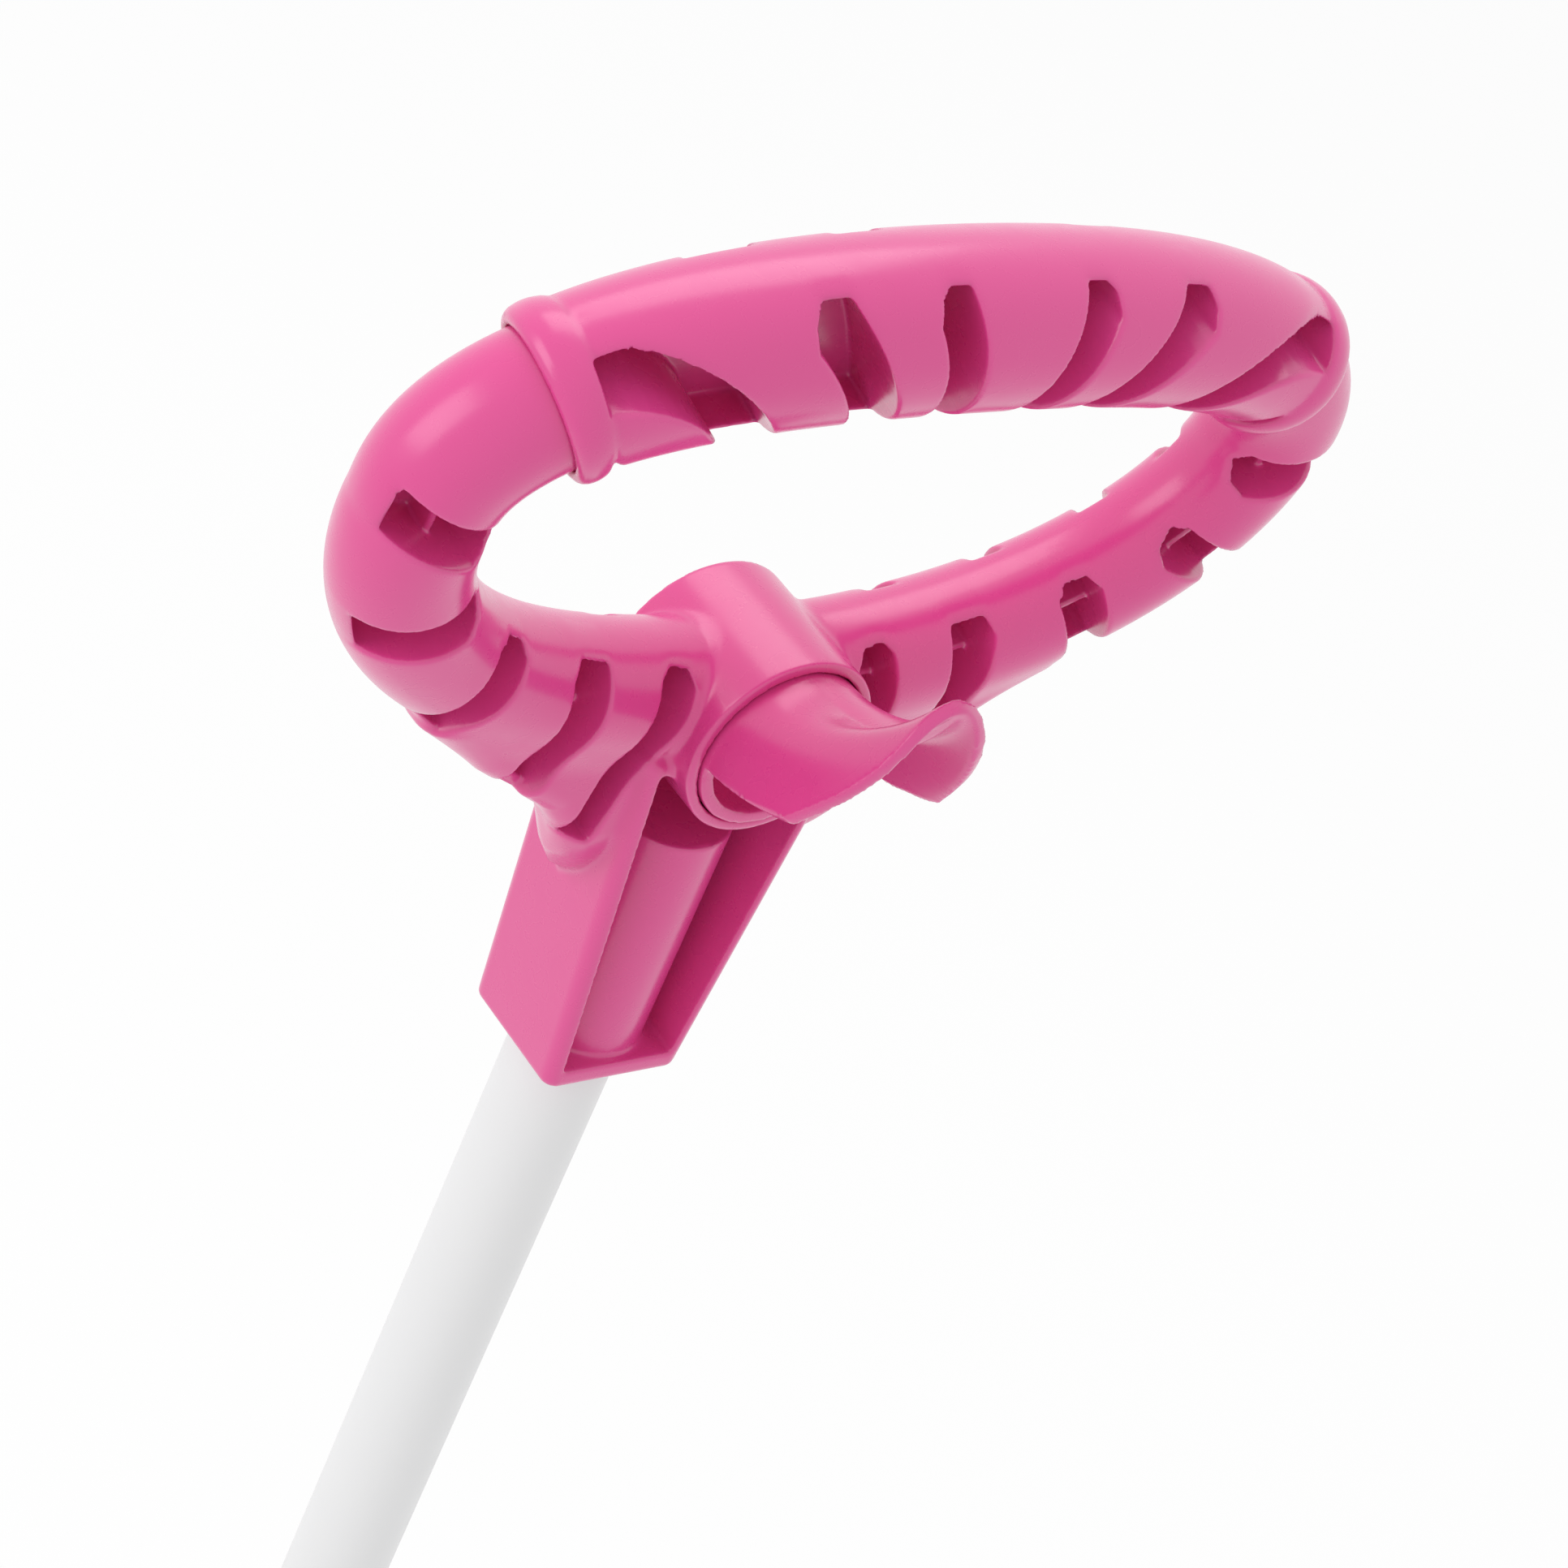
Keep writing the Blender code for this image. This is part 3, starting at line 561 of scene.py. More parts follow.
@dataclass
class HandleYoke:
    """Arms, gussets, barrel and stem in one moulding."""

    frame: Frame
    loop: HandLoop
    step: float = 0.36
    keep: float = 0.30
    edge: float = 0.5
    front_rim: float = 5.0
    back_rim: float = 5.6
    side_wall: float = 1.2
    collar_depth: float = 1.2
    gusset_front: float = -9.3
    gusset_back: float = 8.7
    gusset_rim: float = 1.0
    gusset_swell: float = 0.8
    gusset_round: float = 4.0
    nose_start: float = -17.0
    nose_length: float = 16.0
    nose_slope: float = 8.5
    nose_power: float = 1.6
    barrel_radius: float = 14.5
    barrel_front: float = -15.0
    barrel_back: float = 7.5
    bore_radius: float = 12.9
    bore_floor: float = 0.4
    recess_radius: float = 12.0
    recess_floor: float = 2.4
    pivot_radius: float = 3.4
    stem_top: float = -4.0
    stem_bottom: float = -65.0
    stem_top_half: float = 17.8
    stem_bottom_half: float = 11.6
    stem_front: float = -11.5
    stem_back: float = 10.0
    stem_edge: float = 2.2
    stem_wall: float = 2.4
    pocket_top: float = -6.0
    pocket_bottom: float = -62.0
    boss_radius: float = 9.7
    boss_top: float = -22.5
    socket_radius: float = 8.3
    socket_top: float = -24.5
    screw_height: float = -44.0
    screw_hole: float = 1.8
    rib_half: float = 0.6
    rib_top: float = 3.0
    gusset_blend: float = 4.0
    stem_blend: float = 1.4
    barrel_blend: float = 1.2

    FRONT_WINDOWS = (
        Window((16.5, 7.5), (20.5, -7.0), (23.0, -20.0), 6.0, 4.5),
        Window((32.4, 11.6), (32.5, 1.0), (37.0, -13.0), 6.6, 6.6),
        Window((47.4, 17.6), (50.5, 12.0), (57.0, 0.0), 6.4, 6.4),
        Window((58.0, 26.3), (65.0, 24.3), (78.0, 20.5), 6.4, 6.4),
        Window((62.0, 39.5), (70.0, 41.5), (82.0, 45.5), 6.6, 6.6),
    )
    BACK_WINDOWS = (
        Window((24.3, -2.0), (24.0, 6.0), (23.5, 18.0), 4.8, 4.8),
        Window((43.6, 4.0), (41.0, 10.0), (37.0, 22.0), 4.8, 4.8),
        Window((62.8, 13.0), (57.0, 19.0), (48.0, 29.0), 4.8, 4.8),
        Window((73.2, 30.3), (66.0, 32.0), (55.0, 34.5), 4.8, 4.8),
    )
    GUSSET_OUTLINE = (
        (53.3, 3.6), (42.5, -5.0), (35.9, -9.1), (29.1, -13.4), (26.4, -16.4), (24.7, -19.5),
        (22.4, -24.2), (18.9, -29.2), (14.9, -32.6), (8.0, -32.0), (6.2, 4.0), (47.9, 12.0),
    )

    def block(self) -> Block:
        """Give the sample points that hold the moulding."""
        return Block(80.6, (-13.5, 25.5), (-73.5, 72.0), self.step)

    def stem_field(self, x: np.ndarray, z: np.ndarray, inset: float) -> np.ndarray:
        """Give distances to the tapered stem's side faces.

        Args:
            x: Places across.
            z: Places up the tube.
            inset: How far each side face is drawn in.

        Returns:
            Distances to the nearer side face.
        """
        slope = (self.stem_top_half - self.stem_bottom_half) / (self.stem_top - self.stem_bottom)
        half = self.stem_bottom_half + slope * (z - self.stem_bottom) - inset
        return (np.abs(x) - half) / math.hypot(1.0, slope)

    def arm_field(self, axes: tuple[np.ndarray, np.ndarray, np.ndarray]) -> tuple[np.ndarray, np.ndarray]:
        """Give distances to the arms, and to their centre line in the loop's plane.

        Args:
            axes: Sample points.

        Returns:
            Distances to the arms in the volume, and to the centre line in the plane.
        """
        x, h, c = axes
        start = self.loop.grip_half_length - self.collar_depth
        line = self.loop.stretch(start, math.inf)
        flat, _ = line_distance(line, x[:, :, 0], c[0])
        arms = np.hypot(flat[:, None, :], h) - self.loop.arm_radius
        way = (line[1] - line[0]) / np.linalg.norm(line[1] - line[0])
        past = -((x - line[0][0]) * way[0] + (c - line[0][1]) * way[1])
        near = np.hypot(x - line[0][0], c - line[0][1]) < 2 * self.loop.arm_radius
        return np.where(near, np.maximum(arms, past), arms), flat

    def gusset_field(
        self, x: np.ndarray, y: np.ndarray, z: np.ndarray, inset: float, rounding: float
    ) -> np.ndarray:
        """Give distances to the upright plate that fairs the arm onto the stem.

        Args:
            x: Places across.
            y: Places to the back.
            z: Places up the tube.
            inset: How far the plate is drawn in on all sides.
            rounding: Edge radius.

        Returns:
            Distances to the plate.
        """
        levels = np.arange(z.min() - self.step, z.max() + 2 * self.step, self.step, np.float32)
        table = outline_distance(np.array(self.GUSSET_OUTLINE), x[:, :, 0], levels[None, :])
        place = (z[0] - levels[0]) / self.step
        low = np.floor(place).astype(int)
        share = place - low
        flat = table[:, low] * (1.0 - share) + table[:, low + 1] * share
        drop = np.clip((self.nose_start - z) / self.nose_length, 0.0, 1.0)
        front = self.gusset_front + self.nose_slope * drop**self.nose_power
        back = np.minimum(self.gusset_back, self.gusset_rim + self.gusset_swell * np.maximum(-flat, 0.0))
        depth = np.maximum(front - y, y - back)
        return extrusion(flat + inset, depth + inset, rounding)

    def field(self) -> np.ndarray:
        """Work out distances to the moulding's surface at every sample point."""
        axes = self.block().axes()
        x, h, c = axes
        sin, cos = math.sin(self.frame.lean), math.cos(self.frame.lean)
        y = -h * cos - c * sin + self.frame.foot[1]
        z = -h * sin + c * cos + self.frame.foot[2]
        from_axis = np.hypot(x, z)
        from_tube = np.hypot(x, y)

        arms, flat = self.arm_field(axes)
        solid = blend_union(arms, self.gusset_field(x, y, z, 0.0, self.gusset_round), self.gusset_blend)
        inner = np.hypot(flat[:, None, :], h) - (self.loop.arm_radius - self.loop.wall)
        straight = np.broadcast_to((flat - self.loop.arm_radius + self.side_wall)[:, None, :], inner.shape)
        core = np.minimum(straight, self.gusset_field(x, y, z, self.loop.wall, 0.5))
        front = self.loop.pockets(self.FRONT_WINDOWS, core, self.front_rim, Face.FRONT, axes)
        rib = np.maximum(flat[:, None, :] - self.rib_half, h - self.rib_top)
        front = blend_cut(front, rib, 0.3)
        back = self.loop.pockets(self.BACK_WINDOWS, inner, self.back_rim, Face.BACK, axes)
        solid = blend_cut(solid, front, self.edge)
        solid = blend_cut(solid, back, self.edge)

        side = self.stem_field(x, z, 0.0)
        ends = np.maximum(self.stem_bottom - z, z - self.stem_top)
        faces = np.maximum(self.stem_front - y, y - self.stem_back)
        stem = extrusion(side, faces, self.stem_edge)
        stem = blend_common(stem, np.broadcast_to(ends, stem.shape), 1.2)
        solid = blend_union(solid, stem, self.stem_blend)

        inset = self.stem_field(x, z, self.stem_wall)
        span = np.maximum(self.pocket_bottom - z, z - self.pocket_top)
        span = np.maximum(span, y - self.stem_back + self.stem_wall)
        hollow = blend_common(inset, np.broadcast_to(span, inset.shape), 0.8)
        boss = np.maximum(from_tube - self.boss_radius, z - self.boss_top)
        hollow = blend_cut(hollow, boss, 0.8)
        solid = blend_cut(solid, hollow, self.edge)

        depth = np.maximum(self.barrel_front - y, y - self.barrel_back)
        barrel = extrusion(from_axis - self.barrel_radius, depth, 0.5)
        solid = blend_union(solid, np.broadcast_to(barrel, solid.shape), self.barrel_blend)
        solid = blend_cut(solid, np.maximum(from_axis - self.bore_radius, y - self.bore_floor), 0.3)
        solid = blend_cut(solid, np.maximum(from_axis - self.recess_radius, self.recess_floor - y), 0.4)
        solid = blend_cut(solid, np.broadcast_to(from_axis - self.pivot_radius, solid.shape), 0.2)
        solid = blend_cut(solid, np.maximum(from_tube - self.socket_radius, z - self.socket_top), 0.4)
        drill = np.maximum(np.hypot(x, z - self.screw_height) - self.screw_hole, -y)
        return blend_cut(solid, drill, 0.3)

    def build(self) -> bpy.types.Object:
        """Make the moulding in place of its CAD node."""
        half = self.field()
        whole = np.concatenate((half[::-1], half))
        thing = self.block().skin("yoke_moulding", whole, self.frame.loop(), self.keep)
        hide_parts("handle_yoke")
        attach(thing, Body.STICK.value)
        return thing


@dataclass
class CrossGrip:
    """The thick bar across the top of the loop, with a bead at each end."""

    frame: Frame
    loop: HandLoop
    step: float = 0.36
    keep: float = 0.32
    edge: float = 0.5
    front_rim: float = 4.4
    back_rim: float = 7.2
    collar_depth: float = 1.6
    collar_clearance: float = 0.15
    pocket_stop: float = 57.7
    side_wall: float = 1.2
    bead_radius: float = 11.2
    bead_length: float = 5.0
    screw_station: float = 59.5
    screw_hole: float = 1.8
    head_hole: float = 2.2
    head_depth: float = 3.2
    lead: float = 15.0
    bead_span: float = 0.94
    bead_fullness: float = 0.7

    FRONT_WINDOWS = (
        Window((13.0, 77.5), (8.0, 70.0), (6.0, 52.0), 6.0, 5.0),
        Window((32.0, 75.5), (23.0, 70.0), (14.0, 52.0), 6.5, 6.0),
        Window((61.0, 65.5), (44.0, 72.0), (32.0, 52.0), 5.0, 7.0),
        Window((59.0, 56.0), (54.0, 54.0), (48.0, 46.0), 4.5, 4.5),
    )
    BACK_WINDOWS = (
        Window((12.8, 58.0), (15.8, 68.0), (20.3, 78.0), 6.2, 6.2),
        Window((27.0, 56.0), (33.3, 67.0), (41.5, 75.5), 7.8, 7.8),
    )

    def block(self) -> Block:
        """Give the sample points that hold the moulding."""
        return Block(69.5, (-14.0, 14.0), (46.0, 81.5), self.step)

    def field(self) -> np.ndarray:
        """Work out distances to the moulding's surface at every sample point."""
        axes = self.block().axes()
        x, h, c = axes
        length = self.loop.grip_half_length
        line = self.loop.stretch(-self.lead, length + self.lead)
        flat, station = line_distance(line, x[:, :, 0], c[0])
        run = station - self.lead
        share = np.clip(run / length, 0.0, 1.0)
        plain = self.loop.grip_radius + (self.loop.grip_end_radius - self.loop.grip_radius) * share**2
        in_bead = np.clip((run - length + self.bead_length) / self.bead_length, 0.0, 1.0)
        swell = np.sin(in_bead * math.pi * self.bead_span) ** self.bead_fullness
        radius = plain + (self.bead_radius - self.loop.grip_end_radius) * swell
        around = np.hypot(flat[:, None, :], h)
        bar = around - radius[:, None, :]
        end = (run - length)[:, None, :]
        solid = blend_common(bar, np.broadcast_to(end, bar.shape), 1.2)

        core = np.broadcast_to((flat - plain + self.side_wall)[:, None, :], around.shape)
        stop = np.broadcast_to((run - self.pocket_stop)[:, None, :], around.shape)
        core = np.maximum(core, stop)
        front = self.loop.pockets(self.FRONT_WINDOWS, core, self.front_rim, Face.FRONT, axes)
        front = np.maximum(front, stop)
        inner = np.maximum(around - self.loop.grip_end_radius + self.loop.wall, stop)
        back = self.loop.pockets(self.BACK_WINDOWS, inner, self.back_rim, Face.BACK, axes)
        solid = blend_cut(blend_cut(solid, front, self.edge), back, self.edge)
        collar = around - self.loop.arm_radius - self.collar_clearance
        collar = np.maximum(collar, (length - self.collar_depth - run)[:, None, :])
        solid = blend_cut(solid, collar, 0.3)

        spot = self.loop.stretch(self.screw_station, self.screw_station)[0]
        off = np.hypot(x - spot[0], c - spot[1])
        drill = np.maximum(off - self.screw_hole, h)
        seat = np.maximum(off - self.head_hole, h + self.loop.grip_radius - self.head_depth)
        solid = blend_cut(solid, np.broadcast_to(drill, solid.shape), 0.3)
        return blend_cut(solid, np.broadcast_to(seat, solid.shape), 0.3)

    def build(self) -> bpy.types.Object:
        """Make the moulding in place of its CAD node."""
        half = self.field()
        whole = np.concatenate((half[::-1], half))
        thing = self.block().skin("grip_moulding", whole, self.frame.loop(), self.keep)
        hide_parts("grip_bar")
        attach(thing, Body.STICK.value)
        return thing


# Hook


@dataclass
class SwivelHook:
    """A round plug that turns in the barrel, drawn out into a scoop with a raised lip."""

    frame: Frame
    wall: float = 2.0
    low_angle: float = math.radians(-6.0)
    root: float = -13.0
    root_radius: float = 12.75
    rim_y: float = -32.6
    rim_z: float = 5.1
    rim_half_width: float = 13.8
    lip_rise: float = 23.0
    lip_reach: float = 7.0
    lip_curl: float = math.radians(125.0)
    taper: float = 0.62
    tip_power: int = 10
    valley_y: float = -33.0
    valley_z: float = 9.5
    waist: float = 0.4
    sag: float = 0.66
    plug_front: float = -15.6
    plug_back: float = 0.2
    cup_depth: float = 9.0
    pivot_radius: float = 3.1
    pivot_end: float = 2.5
    pilot_radius: float = 1.8
    pilot_end: float = -5.0
    columns: int = 96
    rows: int = 56
    voxel: float = 0.40

    def rim(self, share: float) -> Vector:
        """Give a point of the free edge.

        Args:
            share: Place along it, from its low corner (0) to the tip of the lip (1).

        Returns:
            The point in millimetres.
        """
        rise = 1.0 - (1.0 - share) ** 2
        half = self.rim_half_width * (1.0 - self.taper * rise) * math.sqrt(1.0 - rise**self.tip_power)
        forward = self.rim_y - self.lip_reach * math.sin(self.lip_curl * rise)
        return Vector((half, forward, self.rim_z + self.lip_rise * rise))

    def skin_point(self, share: float, run: float) -> Vector:
        """Give a point of the outer skin.

        Args:
            share: Place around, from the low corner (0) to the top (1).
            run: Place along, from the plug (0) to the free edge (1).

        Returns:
            The point in millimetres.
        """
        angle = self.low_angle + share * (math.pi / 2 - self.low_angle)
        first = Vector((self.root_radius * math.cos(angle), self.root, self.root_radius * math.sin(angle)))
        last = self.rim(share)
        low = Vector((first.x * (1 - self.waist) + last.x * self.waist, self.rim_y * self.sag, first.z))
        top = Vector((0.0, self.valley_y, self.valley_z))
        weight = share**2
        middle = Vector((low.x, low.y + (top.y - low.y) * weight, low.z + (top.z - low.z) * weight))
        return first * (1 - run) ** 2 + middle * 2 * run * (1 - run) + last * run**2

    def scoop(self) -> bpy.types.Object:
        """Make the scoop's shell as a closed mesh."""
        shape = bmesh.new()
        bmesh.ops.create_grid(shape, x_segments=self.columns, y_segments=self.rows, size=1.0)
        place = self.frame.stick()
        for vert in shape.verts:
            across = vert.co.x
            point = self.skin_point(1.0 - abs(across), (vert.co.y + 1.0) / 2.0)
            vert.co = place @ Vector((math.copysign(point.x, across), point.y, point.z))
        bmesh.ops.recalc_face_normals(shape, faces=shape.faces)
        crest = place @ Vector((0.0, -20.0, 14.0))
        face = min(shape.faces, key=lambda one: (one.calc_center_median() - crest).length)
        if face.normal.z < 0.0:
            bmesh.ops.reverse_faces(shape, faces=shape.faces)
        mesh = bpy.data.meshes.new("hook_moulding")
        shape.to_mesh(mesh)
        shape.free()
        thing = bpy.data.objects.new("hook_moulding", mesh)
        bpy.context.scene.collection.objects.link(thing)
        skin = thing.modifiers.new("wall", "SOLIDIFY")
        skin.thickness = self.wall * MM
        skin.offset = -1.0
        return applied(thing)

    def plug(self) -> bpy.types.Object:
        """Make the plug and its pivot as a closed mesh."""
        cup_floor = self.plug_front + self.cup_depth
        radius = self.root_radius - 0.05
        cup = radius - self.wall
        profile = [
            (0.0, cup_floor),
            (cup, cup_floor),
            (cup, self.plug_front),
            (radius, self.plug_front),
            (radius, self.plug_back),
            (self.pivot_radius, self.plug_back),
            (self.pivot_radius, self.pivot_end),
            (self.pilot_radius, self.pivot_end),
            (self.pilot_radius, self.pilot_end),
            (0.0, self.pilot_end),
        ]
        return turned("hook_plug", profile, ROUND_STEPS, self.frame.barrel())

    def build(self) -> bpy.types.Object:
        """Make the hook in place of its CAD node."""
        thing = self.scoop()
        plug = self.plug()
        join = thing.modifiers.new("join", "BOOLEAN")
        join.operation = "UNION"
        join.object = plug
        even = thing.modifiers.new("even", "REMESH")
        even.mode = "VOXEL"
        even.voxel_size = self.voxel * MM
        ease = thing.modifiers.new("ease", "SMOOTH")
        ease.factor = 0.5
        ease.iterations = 8
        applied(thing)
        bpy.data.objects.remove(plug, do_unlink=True)
        thing.data.shade_smooth()
        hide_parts("hook")
        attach(thing, Body.HOOK.value)
        return thing


# Tube, caps and fasteners


@dataclass
class Pole:
    """The coated tube and the rubber cap on its far end."""

    frame: Frame
    radius: float = 8.0
    wall: float = 1.2
    cap_radius: float = 10.2
    cap_height: float = 26.0
    cap_floor: float = 4.5
    gap: float = 0.2
    clearance: float = 0.3
    socket_top: float = -24.5
    steps: int = ROUND_STEPS

    def build_tube(self) -> bpy.types.Object:
        """Make the tube in place of its CAD node."""
        low = self.cap_floor + self.gap
        high = self.frame.height / MM + self.socket_top - self.gap
        inner = self.radius - self.wall
        rings = list(np.linspace(low, high, 24))
        profile = [(inner, low)] + [(self.radius, height) for height in rings] + [(inner, high)]
        thing = turned("coated_tube", profile, self.steps, Matrix.Identity(4))
        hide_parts("pole_tube")
        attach(thing, Body.STICK.value)
        return thing

    def build_cap(self) -> bpy.types.Object:
        """Make the end cap in place of its CAD node, with a soft rim and grooves in its sole."""
        hole = self.radius + self.clearance
        groove = 0.6
        sole: list[Point] = [(0.0, 0.0)]
        for middle in (3.0, 5.0, 7.0):
            sole += [(middle - groove, 0.0), (middle - groove / 2, groove)]
            sole += [(middle + groove / 2, groove), (middle + groove, 0.0)]
        rim = self.cap_height
        wall = [
            (self.cap_radius, 0.0),
            (self.cap_radius, 4.0),
            (self.cap_radius - 0.5, 4.8),
            (self.cap_radius - 0.5, 5.6),
            (self.cap_radius, 6.4),
            (self.cap_radius, rim),
            (hole, rim),
            (hole, self.cap_floor),
        ]
        edge = fillet(wall[0], sole[-1], wall[1], 1.4)
        lip = fillet(wall[5], wall[4], wall[6], 0.9)
        profile = sole + edge + wall[1:5] + lip + wall[6:] + [(0.0, self.cap_floor)]
        thing = turned("rubber_end_cap", profile, self.steps, Matrix.Identity(4))
        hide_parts("pole_end_cap")
        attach(thing, Body.STICK.value)
        return thing


@dataclass
class RearCap:
    """The thin disc that closes the back of the barrel."""

    frame: Frame
    radius: float = 11.7
    front: float = 6.2
    back: float = 7.5
    edge: float = 0.5

    def build(self) -> bpy.types.Object:
        """Make the disc in place of its CAD node."""
        dish = 0.35
        low = self.back - dish
        corner = fillet((self.radius, self.back), (self.radius, self.front), (0.0, self.back), self.edge)
        ring = [(self.radius - 2.0, self.back), (self.radius - 2.6, low), (0.0, low)]
        profile = [(0.0, self.front), (self.radius, self.front)] + corner + ring
        thing = turned("rear_cap_disc", profile, ROUND_STEPS, self.frame.barrel())
        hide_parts("barrel_cap")
        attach(thing, Body.STICK.value)
        return thing


@dataclass
class PanHeadScrew:
    """A pan-head screw with a cross recess."""

    node: str
    seat: Matrix
    head_radius: float
    length: float
    head_height: float = 1.8
    shank: float = 1.5

    def build(self) -> bpy.types.Object:
        """Make the screw in place of its CAD node: its head stands along the seat's local Z."""
        crown = self.head_radius * 0.72
        flank = self.head_height * 0.55
        top = self.head_height
        dome = bezier(((self.head_radius, flank), (self.head_radius, top), (crown * 0.4, top)), 6)
        profile = [
            (0.0, -self.length),
            (self.shank * 0.6, -self.length),
            (self.shank, -self.length + self.shank),
            (self.shank, 0.0),
            (self.head_radius, 0.0),
        ]
        profile += [tuple(point) for point in dome] + [(0.0, self.head_height)]
        thing = turned(self.node + "_cross", profile, 48, self.seat)
        for turn in (0.0, math.pi / 2):
            self.cut_slot(thing, turn)
        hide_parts(self.node)
        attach(thing, Body.STICK.value)
        return thing

    def cut_slot(self, thing: bpy.types.Object, turn: float) -> None:
        """Cut one arm of the cross recess.

        Args:
            thing: The screw.
            turn: Direction of the arm about the screw's axis.
        """
        width, depth = 0.55, 1.1
        size = (self.head_radius * 1.1 * MM, width * MM, depth * 2 * MM)
        shape = bmesh.new()
        bmesh.ops.create_cube(shape, size=1.0)
        lift = Matrix.Translation((0.0, 0.0, self.head_height * MM))
        place = self.seat @ lift @ Matrix.Rotation(turn, 4, "Z")
        bmesh.ops.transform(shape, matrix=place @ Matrix.Diagonal((*size, 1.0)), verts=shape.verts)
        mesh = bpy.data.meshes.new("slot")
        shape.to_mesh(mesh)
        shape.free()
        tool = bpy.data.objects.new("slot", mesh)
        bpy.context.scene.collection.objects.link(tool)
        cut = thing.modifiers.new("slot", "BOOLEAN")
        cut.operation = "DIFFERENCE"
        cut.object = tool
        applied(thing)
        bpy.data.objects.remove(tool, do_unlink=True)


@dataclass
class Fasteners:
    """The screws that can be seen from the back; the ones shut inside the barrel are not made here."""

    frame: Frame
    loop: HandLoop
    station: float = 59.5
    head_radius: float = 1.9
    head_height: float = 1.8
    length: float = 8.4
    pole_head_radius: float = 2.8
    pole_length: float = 7.0
    pole_height: float = -44.0
    stem_back: float = 10.0
    gap: float = 0.2

    def build(self) -> list[bpy.types.Object]:
        """Make the visible screws in place of their CAD nodes.

        Returns:
            The screws.
        """
        made = []
        spot = self.loop.stretch(self.station, self.station)[0]
        rise = self.loop.grip_end_radius - self.head_height
        to_back = Matrix.Rotation(-math.pi / 2, 4, "X")
        for name, side in (("grip_screw_right", 1.0), ("grip_screw_left", -1.0)):
            where = self.frame.loop() @ Vector((side * spot[0], rise, spot[1]))
            turn = Matrix.Rotation(self.frame.lean, 4, "X") @ to_back
            seat = Matrix.Translation(where) @ turn
            made.append(PanHeadScrew(name, seat, self.head_radius, self.length).build())
        where = self.frame.stick() @ Vector((0.0, self.stem_back + self.gap, self.pole_height))
        seat = Matrix.Translation(where) @ to_back
        made.append(PanHeadScrew("pole_screw", seat, self.pole_head_radius, self.pole_length).build())
        return made


# Finishes


class NodeGroup(Enum):
    """Shader node groups that more than one finish uses."""

    TONE = "tone_drift"
    BREAKUP = "gloss_breakup"
    RELIEF = "skin_relief"


def new_group(kind: NodeGroup, inputs: dict[str, str], output: tuple[str, str]) -> bpy.types.NodeTree:
    """Start a shader node group with its sockets.

    Args:
        kind: Which group.
        inputs: Socket type by input name.
        output: Name and socket type of its output.

    Returns:
        The group, with its input and output nodes named "in" and "out".
    """
    tree = bpy.data.node_groups.new(kind.value, "ShaderNodeTree")
    for name, kind_of in inputs.items():
        tree.interface.new_socket(name=name, in_out="INPUT", socket_type=kind_of)
    tree.interface.new_socket(name=output[0], in_out="OUTPUT", socket_type=output[1])
    tree.nodes.new("NodeGroupInput").name = "in"
    tree.nodes.new("NodeGroupOutput").name = "out"
    return tree


def object_noise(tree: bpy.types.NodeTree, detail: float) -> bpy.types.Node:
    """Add a noise texture in the row frame, with its scale from the group's Scale input.

    Args:
        tree: The group.
        detail: Octaves of the noise.

    Returns:
        The noise node.
    """
    where = tree.nodes.new("ShaderNodeTexCoord")
    noise = tree.nodes.new("ShaderNodeTexNoise")
    noise.inputs["Detail"].default_value = detail
    tree.links.new(where.outputs["Object"], noise.inputs["Vector"])
    tree.links.new(tree.nodes["in"].outputs["Scale"], noise.inputs["Scale"])
    return noise


def make_groups() -> None:
    """Build the shared node groups once."""
    value, colour, vector = "NodeSocketFloat", "NodeSocketColor", "NodeSocketVector"
    tone = new_group(NodeGroup.TONE, {"Scale": value, "Main": colour, "Drift": colour}, ("Colour", colour))
    noise = object_noise(tone, 3.0)
    mix = tone.nodes.new("ShaderNodeMix")
    mix.data_type = "RGBA"
    tone.links.new(noise.outputs["Fac"], mix.inputs["Factor"])
    tone.links.new(tone.nodes["in"].outputs["Main"], mix.inputs["A"])
    tone.links.new(tone.nodes["in"].outputs["Drift"], mix.inputs["B"])
    tone.links.new(mix.outputs["Result"], tone.nodes["out"].inputs["Colour"])

    gloss = new_group(NodeGroup.BREAKUP, {"Scale": value, "Low": value, "High": value}, ("Roughness", value))
    noise = object_noise(gloss, 5.0)
    span = gloss.nodes.new("ShaderNodeMapRange")
    span.inputs["From Min"].default_value = 0.3
    span.inputs["From Max"].default_value = 0.7
    gloss.links.new(noise.outputs["Fac"], span.inputs["Value"])
    gloss.links.new(gloss.nodes["in"].outputs["Low"], span.inputs["To Min"])
    gloss.links.new(gloss.nodes["in"].outputs["High"], span.inputs["To Max"])
    gloss.links.new(span.outputs["Result"], gloss.nodes["out"].inputs["Roughness"])

    sizes = {"Scale": value, "Strength": value, "Depth": value}
    relief = new_group(NodeGroup.RELIEF, sizes, ("Normal", vector))
    noise = object_noise(relief, 2.0)
    bump = relief.nodes.new("ShaderNodeBump")
    relief.links.new(noise.outputs["Fac"], bump.inputs["Height"])
    relief.links.new(relief.nodes["in"].outputs["Strength"], bump.inputs["Strength"])
    relief.links.new(relief.nodes["in"].outputs["Depth"], bump.inputs["Distance"])
    relief.links.new(bump.outputs["Normal"], relief.nodes["out"].inputs["Normal"])


